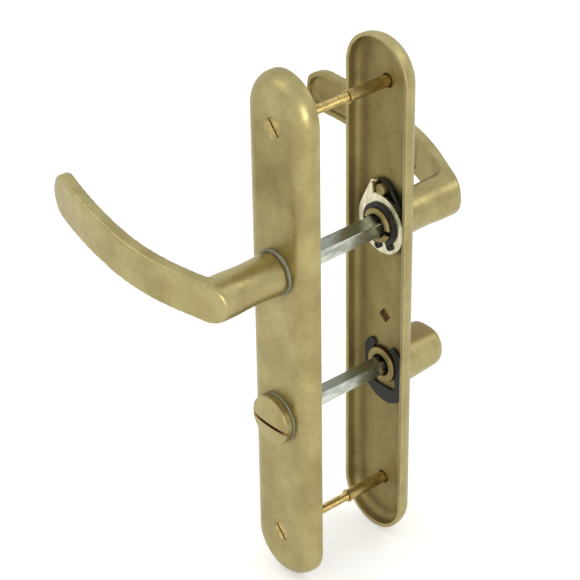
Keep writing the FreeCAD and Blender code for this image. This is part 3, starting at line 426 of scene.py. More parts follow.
@dataclass(frozen=True)
class AgedBrass:
    """Sand-cast brass, tumbled and left to dull: a satin greenish gold with faint brown clouds.

    Tumbling leaves a fine even grain that spreads the highlights. Every outer edge is paler,
    as worn skin with a painted highlight. The real grain is about 0.05 mm, which is too fine
    to show, so it is drawn ten times as coarse. The faces towards the door and the hollow's
    walls get a rougher brown of painted shade, corners get painted shade in a residue brown,
    and stains add residue to slots.
    """

    name: str = "aged_brass"
    pale: str = "aea372"
    dull: str = "9a8e60"
    brown: str = "857148"
    # Brown of the painted shade on faces towards the door and on the hollow's walls.
    door_side_shade: str = "a39666"
    # Colour of the paler edges: worn skin with a painted highlight.
    worn: str = "c3b586"
    cloud_mm: float = 17.0
    cloud_span: tuple[float, float] = (0.36, 0.64)
    cloud_roughness: tuple[float, float] = (-0.04, 0.04)
    patch_mm: float = 9.0
    patch_stretch: tuple[float, float, float] = (1.0, 1.0, 0.45)
    patch_span: tuple[float, float] = (0.5, 0.75)
    patch_share: float = 0.24
    fleck_mm: float = 2.4
    fleck_span: tuple[float, float] = (0.55, 0.8)
    fleck_share: float = 0.35
    fleck_roughness: tuple[float, float] = (-0.03, 0.04)
    grain_mm: float = 0.5
    grain_share: float = 0.3
    relief_mm: float = 0.06
    relief_strength: float = 0.25
    edge_mm: float = 0.9
    # How much the edges take the paler colour of worn skin with a painted highlight.
    edge_highlight_span: tuple[float, float] = (0.995, 0.9)
    edge_highlight_share: float = 0.5
    # Painted shade: brown on faces that look up.
    top_shade_span: tuple[float, float] = (0.6, 0.95)
    top_shade_share: float = 0.0
    # Painted shade on faces towards the door: brown with darker spots, and rougher.
    door_side_shade_span: tuple[float, float] = (0.1, 0.4)
    shade_patch_span: tuple[float, float] = (0.4, 0.7)
    shade_patch_share: float = 0.3
    shade_fleck_span: tuple[float, float] = (0.58, 0.75)
    shade_fleck_share: float = 0.25
    shade_roughness: float = 0.6
    # Painted shade in corners and under parts, in the residue brown, by how shut in they are.
    corner_shade_mm: float = 5.0
    corner_shade_span: tuple[float, float] = (0.85, 0.3)
    corner_shade_share: float = 0.45
    roughness: float = 0.4
    hollow: Hollow | None = None
    stains: tuple[Stain, ...] = ()

    def material(self) -> Material:
        """Build the finish's nodes.

        Returns:
            The finish as a node material.
        """
        material, tree = new_material(self.name)
        place = object_place(tree)
        clouds = shape_noise(tree, place, self.cloud_mm, detail=3.0, roughness=0.5)
        patches = shape_noise(tree, stretched_place(tree, self.patch_stretch), self.patch_mm, detail=4.0,
                              roughness=0.6)
        flecks = shape_noise(tree, place, self.fleck_mm, detail=3.0, roughness=0.55)
        grain = shape_noise(tree, place, self.grain_mm, detail=2.0, roughness=0.5)
        rounded = rounded_normal(tree, self.edge_mm)
        # Painted shade: the share of faces towards the door and of the hollow's walls.
        door_side_shade = self._door_side_shade_share(tree)
        colour = self._skin(tree, clouds, patches, flecks)
        # Paler edges: worn skin with a painted highlight.
        edge_light = edge_highlight_mask(tree, rounded, self.edge_highlight_span, self.edge_highlight_share)
        colour = mix_colour(tree, edge_light, colour, self.worn)
        # Painted shade on faces that look up.
        if self.top_shade_share:
            colour = mix_colour(tree, upward(tree, self.top_shade_span, self.top_shade_share), colour, self.brown)
        # Painted shade: brown on faces towards the door and on the hollow's walls.
        colour = mix_colour(tree, door_side_shade, colour, self._door_side_shade_colour(tree, patches, flecks))
        # Painted shade in corners and under parts.
        colour = mix_colour(tree, self._corner_shade(tree), colour, RESIDUE_AND_SHADE)
        # Stains: residue and grease, with painted shade and shadow where a stain stands for them.
        for stain in self.stains:
            colour = mix_colour(tree, stain.share_on(tree, door_side_shade), colour, stain.colour)
        height = calculate(tree, "ADD", calculate(tree, "MULTIPLY", grain, self.grain_share), flecks)
        gloss = self._gloss(tree, clouds, flecks, door_side_shade)
        normal = relief(tree, self.relief_strength, self.relief_mm, height, rounded)
        finish_surface(tree, {"Base Color": colour, "Metallic": 1.0, "Roughness": gloss, "Normal": normal})
        return material

    def _skin(self, tree: Tree, clouds: Socket, patches: Socket, flecks: Socket) -> Socket:
        """The tumbled skin's colour: pale and dull clouds with brown patches and flecks.

        Args:
            tree: the material's tree.
            clouds: broad noise.
            patches: middling noise.
            flecks: fine noise.

        Returns:
            The colour's socket.
        """
        skin = mix_colour(tree, remap(tree, clouds, *self.cloud_span), self.dull, self.pale)
        patched = mix_colour(tree, remap(tree, patches, *self.patch_span, 0.0, self.patch_share), skin,
                             self.brown)
        return mix_colour(tree, remap(tree, flecks, *self.fleck_span, 0.0, self.fleck_share), patched,
                          self.brown)

    def _door_side_shade_colour(self, tree: Tree, patches: Socket, flecks: Socket) -> Socket:
        """The painted shade's colour on the faces towards the door: brown with darker spots."""
        spots = calculate(tree, "ADD",
                          remap(tree, patches, *self.shade_patch_span, 0.0, self.shade_patch_share),
                          remap(tree, flecks, *self.shade_fleck_span, 0.0, self.shade_fleck_share))
        return mix_colour(tree, spots, self.door_side_shade, RESIDUE_AND_SHADE)

    def _gloss(self, tree: Tree, clouds: Socket, flecks: Socket, door_side_shade: Socket) -> Socket:
        """The roughness: it varies with clouds and flecks, and is higher where shade is painted.

        Args:
            tree: the material's tree.
            clouds: broad noise.
            flecks: fine noise.
            door_side_shade: the share of painted shade on the faces towards the door.

        Returns:
            The roughness's socket.
        """
        low, high = self.fleck_roughness
        skin = calculate(tree, "ADD", remap(tree, clouds, *NOISE_SPAN, *self.cloud_roughness),
                         remap(tree, flecks, *NOISE_SPAN, self.roughness + low, self.roughness + high))
        return calculate(tree, "MAXIMUM", skin, calculate(tree, "MULTIPLY", door_side_shade, self.shade_roughness))

    def _door_side_shade_share(self, tree: Tree) -> Socket:
        """Where shade is painted in brown: faces towards the door, and the hollow's walls.

        Args:
            tree: the material's tree.

        Returns:
            The share's socket.
        """
        side = calculate(tree, "SIGN", split(tree, object_place(tree))[1])
        outwards = calculate(tree, "MULTIPLY", surface_normal(tree)[1], side)
        door_side_shade = remap(tree, calculate(tree, "MULTIPLY", outwards, -1.0), *self.door_side_shade_span)
        return self.hollow.limit(tree, door_side_shade) if self.hollow else door_side_shade

    def _corner_shade(self, tree: Tree) -> Socket:
        """How much painted shade darkens a corner in residue brown, by how shut in it is."""
        shut = add_node(tree, "ShaderNodeAmbientOcclusion", {"samples": RAY_SAMPLES},
                        {"Distance": self.corner_shade_mm * MM})
        return remap(tree, shut.outputs["AO"], *self.corner_shade_span, 0.0, self.corner_shade_share)


@dataclass(frozen=True)
class TurnedBrass:
    """Bright brass from the lathe: yellower and sharper than the castings, with turning rings.

    Real rings stand about 0.1 mm apart, which is too fine to show, so they are drawn at 0.35.
    """

    name: str = "turned_brass"
    bright: str = "cdb87c"
    dull: str = "9f8850"
    ring_mm: float = 0.35
    ring_stretch: tuple[float, float, float] = (0.08, 1.0, 0.08)
    cloud_mm: float = 3.0
    cloud_span: tuple[float, float] = (0.35, 0.7)
    roughness: float = 0.28
    roughness_rise: float = 0.12
    relief_mm: float = 0.02
    relief_strength: float = 0.3

    def material(self) -> Material:
        """Build the finish's nodes.

        Returns:
            The finish as a node material.
        """
        material, tree = new_material(self.name)
        rings = shape_noise(tree, stretched_place(tree, self.ring_stretch), self.ring_mm, detail=2.0,
                            roughness=0.5)
        clouds = shape_noise(tree, object_place(tree), self.cloud_mm, detail=3.0, roughness=0.6)
        colour = mix_colour(tree, remap(tree, clouds, *self.cloud_span), self.bright, self.dull)
        rough = remap(tree, clouds, *NOISE_SPAN, self.roughness, self.roughness + self.roughness_rise)
        normal = relief(tree, self.relief_strength, self.relief_mm, rings)
        finish_surface(tree, {"Base Color": colour, "Metallic": 1.0, "Roughness": rough, "Normal": normal})
        return material


@dataclass(frozen=True)
class ZincPlate:
    """Drawn steel bar, dull zinc plated: cool grey, streaked along, with a painted dark reflection on top.

    Its drawing lines are finer than a pixel and are drawn 0.5 mm wide. Its edges carry a
    painted highlight.
    """

    name: str = "zinc_plated_steel"
    pale: str = "d3d8ce"
    dark: str = "8b9288"
    # Painted dark reflection on faces that look up.
    top_reflection: str = "838a7e"
    # Painted highlight on the edges.
    edge_highlight: str = "eff1ea"
    line_mm: float = 0.5
    line_stretch: tuple[float, float, float] = (1.0, 0.05, 1.0)
    line_share: float = 0.4
    patch_mm: float = 2.5
    patch_stretch: tuple[float, float, float] = (1.0, 0.35, 1.0)
    streak_span: tuple[float, float] = (0.6, 0.95)
    # How much painted dark reflection the faces that look up get.
    top_shade_span: tuple[float, float] = (0.5, 0.9)
    top_shade_share: float = 0.75
    # Painted highlight along the edges.
    edge_mm: float = 0.45
    edge_highlight_span: tuple[float, float] = (0.99, 0.8)
    edge_highlight_share: float = 0.9
    relief_mm: float = 0.03
    relief_strength: float = 0.25
    roughness: tuple[float, float] = (0.18, 0.41)

    def material(self) -> Material:
        """Build the finish's nodes.

        Returns:
            The finish as a node material.
        """
        material, tree = new_material(self.name)
        lines = shape_noise(tree, stretched_place(tree, self.line_stretch), self.line_mm, detail=3.0,
                            roughness=0.6)
        patches = shape_noise(tree, stretched_place(tree, self.patch_stretch), self.patch_mm, detail=4.0,
                              roughness=0.6)
        streaks = calculate(tree, "ADD", calculate(tree, "MULTIPLY", lines, self.line_share), patches)
        colour = mix_colour(tree, remap(tree, streaks, *self.streak_span), self.pale, self.dark)
        # Painted dark reflection on faces that look up.
        colour = mix_colour(tree, upward(tree, self.top_shade_span, self.top_shade_share), colour, self.top_reflection)
        # Painted highlight on the edges.
        edge_light = edge_highlight_mask(tree, rounded_normal(tree, self.edge_mm), self.edge_highlight_span, self.edge_highlight_share)
        colour = mix_colour(tree, edge_light, colour, self.edge_highlight)
        finish_surface(tree, {"Base Color": colour, "Metallic": 1.0,
                              "Roughness": remap(tree, patches, *NOISE_SPAN, *self.roughness),
                              "Normal": relief(tree, self.relief_strength, self.relief_mm, lines)})
        return material


@dataclass(frozen=True)
class NickelPlate:
    """Pressed steel plate with bright nickel: warm white metal, smooth and slightly streaked."""

    name: str = "nickel_plated_steel"
    bright: str = "d8d2b6"
    streak: str = "b5ad8f"
    streak_mm: float = 2.0
    streak_stretch: tuple[float, float, float] = (1.0, 1.0, 0.25)
    streak_span: tuple[float, float] = (0.4, 0.75)
    roughness: tuple[float, float] = (0.2, 0.35)

    def material(self) -> Material:
        """Build the finish's nodes.

        Returns:
            The finish as a node material.
        """
        material, tree = new_material(self.name)
        streaks = shape_noise(tree, stretched_place(tree, self.streak_stretch), self.streak_mm, detail=3.0,
                              roughness=0.6)
        colour = mix_colour(tree, remap(tree, streaks, *self.streak_span), self.bright, self.streak)
        finish_surface(tree, {"Base Color": colour, "Metallic": 1.0,
                              "Roughness": remap(tree, streaks, *NOISE_SPAN, *self.roughness)})
        return material


@dataclass(frozen=True)
class BlackenedSteel:
    """Oil-blackened spring steel: near black with a dim grey sheen.

    The oxide skin isn't metal, so it shines like a dark stone with little gloss.
    """

    name: str = "black_spring_steel"
    black: str = "1b1b18"
    worn: str = "2e2e2a"
    patch_mm: float = 1.8
    patch_span: tuple[float, float] = (0.4, 0.75)
    gloss: float = 0.3
    roughness: tuple[float, float] = (0.4, 0.6)

    def material(self) -> Material:
        """Build the finish's nodes.

        Returns:
            The finish as a node material.
        """
        material, tree = new_material(self.name)
        patches = shape_noise(tree, object_place(tree), self.patch_mm, detail=3.0, roughness=0.6)
        colour = mix_colour(tree, remap(tree, patches, *self.patch_span), self.black, self.worn)
        finish_surface(tree, {"Base Color": colour, "Specular IOR Level": self.gloss,
                              "Roughness": remap(tree, patches, *NOISE_SPAN, *self.roughness)})
        return material


@dataclass(frozen=True)
class GreyNylon:
    """Moulded nylon washer, yellowed to a greenish grey: matt with a faint gloss."""

    name: str = "grey_nylon"
    colour: str = "8f9080"
    shade: str = "7c7d6c"
    cloud_mm: float = 3.0
    cloud_span: tuple[float, float] = (0.35, 0.65)
    roughness: float = 0.55

    def material(self) -> Material:
        """Build the finish's nodes.

        Returns:
            The finish as a node material.
        """
        material, tree = new_material(self.name)
        clouds = shape_noise(tree, object_place(tree), self.cloud_mm, detail=2.0, roughness=0.5)
        colour = mix_colour(tree, remap(tree, clouds, *self.cloud_span), self.colour, self.shade)
        finish_surface(tree, {"Base Color": colour, "Roughness": self.roughness})
        return material


# Meshes

def dress(nodes: tuple[str, ...], material: Material) -> None:
    """Give CAD nodes one finish.

    Args:
        nodes: the nodes' names.
        material: what fills all their slots.
    """
    for name in nodes:
        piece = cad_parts[name]
        if not piece.material_slots:
            piece.data.materials.append(material)
        for slot in piece.material_slots:
            slot.material = material
        LOG.info("%s takes %s", name, material.name)


def merged_copy(node: str) -> bpy.types.Mesh:
    """A copy of a node's mesh with its loose triangles joined at their corners.

    Args:
        node: the node's name.

    Returns:
        The new mesh.
    """
    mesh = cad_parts[node].data.copy()
    if "custom_normal" in mesh.attributes:
        mesh.attributes.remove(mesh.attributes["custom_normal"])
    work = bmesh.new()
    work.from_mesh(mesh)
    bmesh.ops.remove_doubles(work, verts=work.verts, dist=MERGE_MM * MM)
    work.to_mesh(mesh)
    work.free()
    return mesh


def closed_cut(work: bmesh.types.BMesh, side: Side, depth: float, keep_far: bool) -> None:
    """Cut a closed mesh across the door's axis, keep one part and close it again.

    Args:
        work: the mesh.
        side: the side of the door that it is on.
        depth: how far from the middle of the door the cut is, in millimetres.
        keep_far: whether the part away from the door is kept.
    """
    everything = list(work.verts) + list(work.edges) + list(work.faces)
    cut = bmesh.ops.bisect_plane(work, geom=everything, plane_co=(0.0, side.value * depth * MM, 0.0),
                                 plane_no=(0.0, side.value, 0.0), clear_outer=not keep_far,
                                 clear_inner=keep_far)
    edges = [item for item in cut["geom_cut"] if isinstance(item, bmesh.types.BMEdge)]
    bmesh.ops.triangle_fill(work, edges=edges, use_beauty=True)
    bmesh.ops.recalc_face_normals(work, faces=work.faces)


def set_shading(work: bmesh.types.BMesh, crease: float) -> None:
    """Shade a mesh smooth, with a crease at each sharp edge.

    Args:
        work: the mesh.
        crease: the angle in degrees past which an edge is sharp.
    """
    for edge in work.edges:
        edge.smooth = edge.calc_face_angle(0.0) < math.radians(crease)
    for face in work.faces:
        face.smooth = True


def stand_in(work: bmesh.types.BMesh, mesh: bpy.types.Mesh, node: str, body: Body,
             material: Material) -> bpy.types.Object:
    """Make a finished mesh the piece that stands for a node.

    Args:
        work: the finished mesh, which is freed.
        mesh: the mesh data that takes it.
        node: the node it stands for.
        body: the body it rides on.
        material: its finish.

    Returns:
        The new piece.
    """
    work.to_mesh(mesh)
    work.free()
    mesh.materials.clear()
    mesh.materials.append(material)
    piece = bpy.data.objects.new(f"{node}_detailed", mesh)
    bpy.context.scene.collection.objects.link(piece)
    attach(piece, body.value)
    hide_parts(node)
    LOG.info("%s stands for %s with %d faces", piece.name, node, len(mesh.polygons))
    return piece


def grid_faces(rows: int, columns: int) -> tuple[np.ndarray, np.ndarray]:
    """The faces of a tube's grid and of the caps that close it to two poles.

    The points are numbered row by row, then come the first row's pole and the last row's. A
    square joins a point, the one above it in the next row, and the next pair round the tube.
    A triangle joins two neighbours of an end row to its pole.

    Args:
        rows: how many rows of points the tube has.
        columns: how many points a row has.

    Returns:
        The squares as rows of four point numbers, and the triangles as rows of three.
    """
    row = np.arange(rows - 1)[:, None] * columns
    column = np.arange(columns)
    following = (column + 1) % columns
    squares = np.stack([row + column, row + columns + column, row + columns + following, row + following],
                       axis=-1).reshape(-1, 4)
    last = (rows - 1) * columns
    pole = np.full(columns, rows * columns)
    first_cap = np.stack([column, following, pole], axis=-1)
    last_cap = np.stack([last + following, last + column, pole + 1], axis=-1)
    return squares, np.vstack([first_cap, last_cap])


def add_grid(work: bmesh.types.BMesh, points: np.ndarray, faces: tuple[np.ndarray, np.ndarray]) -> None:
    """Add a closed grid surface to a mesh, with its faces turned outwards.

    Args:
        work: the mesh.
        points: the grid's points in metres.
        faces: its squares and its triangles.
    """
    squares, triangles = faces
    mesh = bpy.data.meshes.new("grid")
    mesh.from_pydata(points.tolist(), [], squares.tolist() + triangles.tolist())
    part = bmesh.new()
    part.from_mesh(mesh)
    bmesh.ops.recalc_face_normals(part, faces=part.faces)
    part.to_mesh(mesh)
    part.free()
    work.from_mesh(mesh)
    bpy.data.meshes.remove(mesh)


# Sub-assemblies

@dataclass(frozen=True)
class Plates:
    """The two cast backplates with their studs and washers."""

    castings: tuple[str, ...] = ("outer_backplate", "inner_backplate")
    studs: tuple[str, ...] = ("outer_stop_pin", "inner_stop_pin")
    washers: tuple[str, ...] = ("outer_neck_washer", "inner_neck_washer", "release_washer",
                                "thumb_turn_washer")
    # The plates' painted shade in corners reaches farther and is stronger.
    corner_shade_mm: float = 9.0
    corner_shade_share: float = 0.6
    # Painted shade in the cast pocket, reddish brown.
    cast_pocket_shade: Stain = Stain(height=-45.8, half_height=3.7, depth=29.7, half_depth=0.6, half_across=3.7,
                               colour="6b4a32")
    # Black grease and painted shadow around the return spring.
    spring_grease_and_shadow: Stain = Stain(height=4.0, half_height=13.0, depth=26.0, half_depth=3.05, across=4.5,
                                 soft=4.5, share=0.9, round=True, inside=True, colour="2a261d")

    def dress(self, brass: Material, nylon: Material) -> None:
        """Give castings, studs and washers their finishes.

        Args:
            brass: the studs' finish.
            nylon: the washers' finish.
        """
        low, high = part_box(self.castings[1])
        hollow = Hollow((high[0] - low[0]) / 2 / MM, high[2] / MM, low[2] / MM)
        cast = AgedBrass(name="aged_brass_plate", corner_shade_mm=self.corner_shade_mm, corner_shade_share=self.corner_shade_share,
                         hollow=hollow, stains=(self.cast_pocket_shade, self.spring_grease_and_shadow))
        dress(self.castings, cast.material())
        dress(self.studs, brass)
        dress(self.washers, nylon)


@dataclass(frozen=True)
class SoftCasting:
    """A casting whose crisp solid gets the worn round edges of the real one.

    A copy of the solid is rebuilt on an even grid of small squares, and each point is moved
    again and again part of the way to the mean of its neighbours, which rounds every edge.
    Under the plate the copy stays as crisp as it is. Lengths are in millimetres.
    """

    node: str
    side: Side
    cut_depth: float = 31.0
    grid: float = 0.5
    passes: int = 24
    pull: float = 0.5
    crease: float = 32.0

    def build(self, material: Material) -> bpy.types.Object:
        """Make the rounded piece in place of the solid.

        Args:
            material: the casting's finish.

        Returns:
            The piece, which rides on the levers.
        """
        crisp = merged_copy(self.node)
        worn = self._even_grid(crisp)
        work = bmesh.new()
        work.from_mesh(worn)
        for _ in range(self.passes):
            bmesh.ops.smooth_vert(work, verts=work.verts, factor=self.pull, use_axis_x=True,
                                  use_axis_y=True, use_axis_z=True)
        closed_cut(work, self.side, self.cut_depth, keep_far=True)
        spigot = bmesh.new()
        spigot.from_mesh(crisp)
        closed_cut(spigot, self.side, self.cut_depth, keep_far=False)
        spigot.to_mesh(crisp)
        spigot.free()
        work.from_mesh(crisp)
        set_shading(work, self.crease)
        bpy.data.meshes.remove(worn)
        return stand_in(work, crisp, self.node, Body.LEVERS, material)

    def _even_grid(self, mesh: bpy.types.Mesh) -> bpy.types.Mesh:
        """The same closed surface on a grid of even squares.

        Args:
            mesh: the copy of the solid.

        Returns:
            A new mesh.
        """
        helper = bpy.data.objects.new("helper", mesh)
        bpy.context.scene.collection.objects.link(helper)
        remesh = helper.modifiers.new("even_grid", "REMESH")
        remesh.mode = "VOXEL"
        remesh.voxel_size = self.grid * MM
        graph = bpy.context.evaluated_depsgraph_get()
        result = bpy.data.meshes.new_from_object(helper.evaluated_get(graph))
        bpy.data.objects.remove(helper)
        return result


@dataclass(frozen=True)
class Levers:
    """Both levers with what holds and returns them.

    Hands keep the levers glossier than the plates, and their edges get little painted highlight.
    """

    castings: tuple[SoftCasting, ...] = (SoftCasting("outer_lever", Side.OUTER),
                                         SoftCasting("inner_lever", Side.INNER))
    stop_plates: tuple[str, ...] = ("outer_stop_plate", "inner_stop_plate")
    black_parts: tuple[str, ...] = ("outer_return_spring", "inner_return_spring", "outer_lever_circlip",
                                    "inner_lever_circlip", "outer_lever_grub", "inner_lever_grub")
    bar: str = "lever_spindle"
    # Little painted highlight on the levers' edges.
    edge_highlight_share: float = 0.05
    roughness: float = 0.33

    def dress(self, nickel: Material, black: Material, zinc: Material) -> None:
        """Build the castings and give the other parts their finishes.

        Args:
            nickel: the stop plates' finish.
            black: the finish of springs, circlips and grub screws.
            zinc: the spindle's finish.
        """
        handled = AgedBrass(name="aged_brass_lever", edge_highlight_share=self.edge_highlight_share, roughness=self.roughness)
        brass = handled.material()
        for casting in self.castings:
            casting.build(brass)
        dress(self.stop_plates, nickel)
        dress(self.black_parts, black)
        dress((self.bar,), zinc)


@dataclass(frozen=True)
class Knob:
    """The thumb turn's knob: a taper with two finger flats and a well rounded end.

    It is a surface of distance out and angle round its axis. A circle's radius falls from
    the base to the end, and the flats' distance falls likewise. Their smooth smaller one is
    the root of the sum of both to a high negative power. Over the last stretch it all draws
    in by a round of its own power. The spigot is the solid's own. Lengths are in millimetres.
    """

    node: str = "thumb_turn"
    height: float = -70.0
    base_out: float = 31.2
    cut_depth: float = 31.0
    length: float = 23.8
    base_radius: float = 11.5
    end_radius: float = 10.1
    flat_at_base: float = 10.2
    flat_at_end: float = 9.1
    flat_power: float = 12.0
    end_round: float = 5.5
    round_power: float = 2.9
    last_row: float = 0.998
    rows: int = 72
    columns: int = 128
    crease: float = 32.0

    def build(self, material: Material) -> bpy.types.Object:
        """Make the knob in place of the solid.

        Args:
            material: the knob's finish.

        Returns:
            The piece, which rides on the turn.
        """
        mesh = merged_copy(self.node)
        work = bmesh.new()
        work.from_mesh(mesh)
        closed_cut(work, Side.INNER, self.cut_depth, keep_far=False)
        add_grid(work, self._points(), grid_faces(self.rows, self.columns))
        set_shading(work, self.crease)
        return stand_in(work, mesh, self.node, Body.TURN, material)

    def _points(self) -> np.ndarray:
        """Work out the knob's surface.

        The rows stand closer towards the end, by a quarter of a sine, so that its round is
        even.

        Returns:
            Its points in metres, row by row outwards, then the two poles.
        """
        share = np.linspace(0.0, self.last_row, self.rows)[:, None]
        out = self.length * np.sin(share * np.pi / 2)
        angle = np.linspace(0.0, 2 * np.pi, self.columns, endpoint=False)[None, :]
        circle = self.base_radius + (self.end_radius - self.base_radius) * out / self.length
        flat = self.flat_at_base + (self.flat_at_end - self.flat_at_base) * out / self.length
        both = circle ** -self.flat_power + (np.abs(np.sin(angle)) / flat) ** self.flat_power
        section = both ** (-1 / self.flat_power)
        late = np.clip((out - self.length + self.end_round) / self.end_round, 0.0, 1.0)
        radius = section * (1 - late ** self.round_power) ** (1 / self.round_power)
        place = np.stack([radius * np.cos(angle), (self.base_out + out) * np.ones_like(angle),
                          self.height + radius * np.sin(angle)], axis=-1).reshape(-1, 3)
        poles = [[0.0, self.base_out, self.height], [0.0, self.base_out + self.length, self.height]]
        return np.vstack([place, poles]) * MM


@dataclass(frozen=True)
class Turn:
    """Thumb turn, release button and what holds them."""

    knob: Knob = Knob()
    button: str = "release_button"
    black_parts: tuple[str, ...] = ("release_clip", "thumb_turn_clip", "thumb_turn_grub")
    bar: str = "turn_spindle"
    # Painted shade: brown on the knob's faces that look up.
    top_shade_share: float = 0.85
    coin_slot: Stain = Stain(height=-71.5, half_height=0.83, depth=37.0, half_depth=3.0, colour="7a5330")
    spigot_side: Stain = Stain(height=-70.0, half_height=8.3, depth=27.3, half_depth=1.2)

    def dress(self, black: Material, zinc: Material) -> None:
        """Build the knob and give the other parts their finishes.

        Args:
            black: the finish of clips and grub screw.
            zinc: the spindle's finish.
        """
        # The knob's brass, with painted shade on its top.
        top_shaded_brass = AgedBrass(name="aged_brass_knob", top_shade_share=self.top_shade_share, stains=(self.spigot_side,))
        self.knob.build(top_shaded_brass.material())
        dress((self.button,), AgedBrass(name="aged_brass_button", stains=(self.coin_slot,)).material())
        dress(self.black_parts, black)
        dress((self.bar,), zinc)


@dataclass(frozen=True)
class ThreadedScrew:
    """A countersunk screw whose shank has a cut thread.

    The head is the solid's own, turned about the screw's axis. The real thread has a pitch of
    0.7, which would blur in the picture, so it is drawn coarser. The shank is a surface of
    distance along the axis and angle round it, whose radius falls from the crest by a
    triangle wave of their difference in turns. The wave fades out under the head, and the
    radius draws in over the end's chamfer. Lengths are in millimetres.
    """

    node: str
    height: float
    head_end: float = 26.0
    shank_end: float = 20.0
    crest: float = 2.0
    depth: float = 0.45
    pitch: float = 1.1
    head_turn: float = 48.0
    run_out: float = 1.0
    chamfer: float = 0.6
    rows_per_turn: int = 8
    columns: int = 24
    crease: float = 35.0

    def build(self, material: Material) -> bpy.types.Object:
        """Make the threaded screw in place of the plain one.

        Args:
            material: the screw's finish.

        Returns:
            The piece, which rides on the plates.
        """
        mesh = merged_copy(self.node)
        work = bmesh.new()
        work.from_mesh(mesh)
        closed_cut(work, Side.OUTER, self.head_end, keep_far=True)
        turned = Matrix.Rotation(math.radians(self.head_turn), 3, "Y")
        bmesh.ops.rotate(work, cent=Vector((0.0, 0.0, self.height * MM)), matrix=turned, verts=work.verts)
        points, faces = self._shank()
        add_grid(work, points, faces)
        set_shading(work, self.crease)
        return stand_in(work, mesh, self.node, Body.PLATES, material)

    def _shank(self) -> tuple[np.ndarray, tuple[np.ndarray, np.ndarray]]:
        """Work out the thread's surface.

        Returns:
            Its points in metres, row by row along the axis, then the two poles, and its faces.
        """
        start = -self.head_end
        rows = int((self.shank_end - start) / self.pitch * self.rows_per_turn)
        along = np.linspace(start, self.shank_end, rows)[:, None]
        angle = np.linspace(0.0, 2 * np.pi, self.columns, endpoint=False)[None, :]
        turns = along / self.pitch - angle / (2 * np.pi)
        wave = 2 * np.abs(turns - np.round(turns))
        fade = np.clip((along - start) / self.run_out, 0.0, 1.0)
        radius = self.crest - self.depth * wave * fade
        radius = np.minimum(radius, self.crest - self.chamfer + (self.shank_end - along))
        place = np.stack([radius * np.cos(angle), along * np.ones_like(angle),
                          self.height + radius * np.sin(angle)], axis=-1).reshape(-1, 3)
        poles = [[0.0, start, self.height], [0.0, self.shank_end, self.height]]
        return np.vstack([place, poles]) * MM, grid_faces(rows, self.columns)


@dataclass(frozen=True)
class Bolts:
    """The screws and sleeve nuts that clamp the plates on the door."""

    screws: tuple[ThreadedScrew, ...] = (ThreadedScrew("upper_screw", height=64.4),
                                         ThreadedScrew("lower_screw", height=-130.6))
    sleeves: tuple[str, ...] = ("upper_sleeve_nut", "lower_sleeve_nut")

    def dress(self, brass: Material) -> None:
        """Cut the screws' threads and give the sleeve nuts their finish.

        Args:
            brass: the finish of all four.
        """
        for screw in self.screws:
            screw.build(brass)
        dress(self.sleeves, brass)


# Studio

@dataclass(frozen=True)
class Camera:
    """The photograph's camera, fitted to the centres of the bolts and spindles.

    Angles are in degrees and lengths in millimetres. Aside and above move the view's axis
    off the lever spindle's point at the outer plate's back.
    """

    azimuth: float = 50.4425
    elevation: float = 32.9187
    roll: float = -0.9182
    distance: float = 882.2336
    lens: float = 138.745
    sensor: float = 36.0
    aside: float = -0.8232
    above: float = -10.0136
    plate_back: float = -22.0
    nearest: float = 50.0
    farthest: float = 20000.0

    def place(self) -> None:
        """Make the camera and set it as the scene's."""
        turn = math.radians(self.azimuth)
        lift = math.radians(self.elevation)
        right = Vector((math.cos(turn), math.sin(turn), 0.0))
        forward = Vector((-math.sin(turn) * math.cos(lift), math.cos(turn) * math.cos(lift),
                          -math.sin(lift)))
        up = right.cross(forward)
        origin = Vector((0.0, self.plate_back, 0.0))
        eye = origin + right * self.aside + up * self.above - forward * self.distance
        tilt = math.radians(self.roll)
        rolled_right = right * math.cos(tilt) + up * math.sin(tilt)
        rolled_up = up * math.cos(tilt) - right * math.sin(tilt)
        data = bpy.data.cameras.new("photo_camera")
        data.lens = self.lens
        data.sensor_width = self.sensor
        data.clip_start = self.nearest * MM
        data.clip_end = self.farthest * MM
        camera = bpy.data.objects.new("photo_camera", data)
        bpy.context.scene.collection.objects.link(camera)
        rows = Matrix((rolled_right, rolled_up, -forward)).transposed().to_4x4()
        camera.matrix_world = Matrix.Translation(eye * MM) @ rows
        bpy.context.scene.camera = camera
        LOG.info("camera placed")


@dataclass(frozen=True)
class Lamp:
    """One soft round lamp: its place and size in metres, its power in watts and its tint."""

    place: tuple[float, float, float]
    size: float
    power: float
    tint: str


class Light(Enum):
    """The studio's lamps, by what each does."""

    KEY = Lamp((-0.9, -1.3, 1.5), 1.6, 6.0, "fffdf6")
    SIDE = Lamp((1.6, -0.9, 0.45), 0.6, 12.0, "fffaf0")
    BACK = Lamp((0.7, 1.5, 1.3), 1.0, 4.0, "fffdf8")


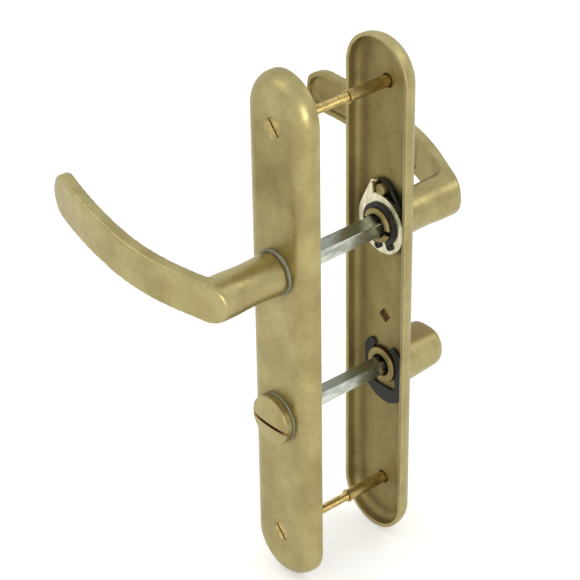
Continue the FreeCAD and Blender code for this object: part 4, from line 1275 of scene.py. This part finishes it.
@dataclass(frozen=True)
class Studio:
    """A white sweep, a white world and the soft lamps. Lengths are in metres."""

    floor_z: float = -0.154
    floor_half: float = 3.0
    floor_colour: str = "f4f4f2"
    floor_lift: float = 0.25
    world_level: float = 0.85
    white: str = "ffffff"

    def build(self) -> None:
        """Make the world, the lamps and the floor."""
        self._world()
        for light in Light:
            self._lamp(light)
        self._floor()

    def _world(self) -> None:
        """White for the rays that show the background, and a plain level for the rest."""
        world = bpy.data.worlds.new("studio")
        bpy.context.scene.world = world
        world.use_nodes = True
        tree = world.node_tree
        tree.nodes.clear()
        level = remap(tree, self._background_seen(tree), 0.0, 1.0, self.world_level, 1.0)
        back = add_node(tree, "ShaderNodeBackground", None,
                        {"Color": linear(self.white), "Strength": level})
        add_node(tree, "ShaderNodeOutputWorld", None, {"Surface": back.outputs["Background"]})

    def _background_seen(self, tree: Tree) -> Socket:
        """Which rays show the background: from the camera, in gloss and through glass.

        Args:
            tree: the tree of the world or of the floor's material.

        Returns:
            A share's socket, which is 1 for those rays.
        """
        rays = add_node(tree, "ShaderNodeLightPath").outputs
        mirrored = calculate(tree, "MAXIMUM", rays["Is Glossy Ray"], rays["Is Transmission Ray"])
        return calculate(tree, "MAXIMUM", rays["Is Camera Ray"], mirrored)

    def _lamp(self, light: Light) -> None:
        """Make one area lamp that points at the part.

        Args:
            light: which lamp.
        """
        lamp = light.value
        data = bpy.data.lights.new(light.name.lower(), "AREA")
        data.shape = "DISK"
        data.size = lamp.size
        data.energy = lamp.power
        data.color = linear(lamp.tint)[:3]
        stand = bpy.data.objects.new(light.name.lower(), data)
        stand.location = lamp.place
        stand.rotation_euler = (-Vector(lamp.place)).to_track_quat("-Z", "Y").to_euler()
        bpy.context.scene.collection.objects.link(stand)

    def _floor(self) -> None:
        """A pale floor that shows as plain white where nothing shades it."""
        half = self.floor_half
        corners = [(-half, -half, self.floor_z), (half, -half, self.floor_z), (half, half, self.floor_z),
                   (-half, half, self.floor_z)]
        mesh = bpy.data.meshes.new("floor")
        mesh.from_pydata(corners, [], [(0, 1, 2, 3)])
        floor = bpy.data.objects.new("floor", mesh)
        bpy.context.scene.collection.objects.link(floor)
        material, tree = new_material("white_sweep")
        diffuse = add_node(tree, "ShaderNodeBsdfDiffuse", None, {"Color": linear(self.floor_colour)})
        lift = calculate(tree, "MULTIPLY", self._background_seen(tree), self.floor_lift)
        glow = add_node(tree, "ShaderNodeEmission", None, {"Color": linear(self.white), "Strength": lift})
        both = add_node(tree, "ShaderNodeAddShader", None,
                        {0: diffuse.outputs["BSDF"], 1: glow.outputs["Emission"]})
        add_node(tree, "ShaderNodeOutputMaterial", None, {"Surface": both.outputs["Shader"]})
        mesh.materials.append(material)


def main() -> None:
    """Build every sub-assembly's looks, the studio and the camera."""
    logging.basicConfig(level=logging.INFO, format="%(name)s: %(message)s")
    black = BlackenedSteel().material()
    zinc = ZincPlate().material()
    Plates().dress(AgedBrass().material(), GreyNylon().material())
    Levers().dress(NickelPlate().material(), black, zinc)
    Turn().dress(black, zinc)
    Bolts().dress(TurnedBrass().material())
    Studio().build()
    Camera().place()
    bpy.context.scene.view_settings.view_transform = "Standard"


if __name__ == "__main__":
    main()
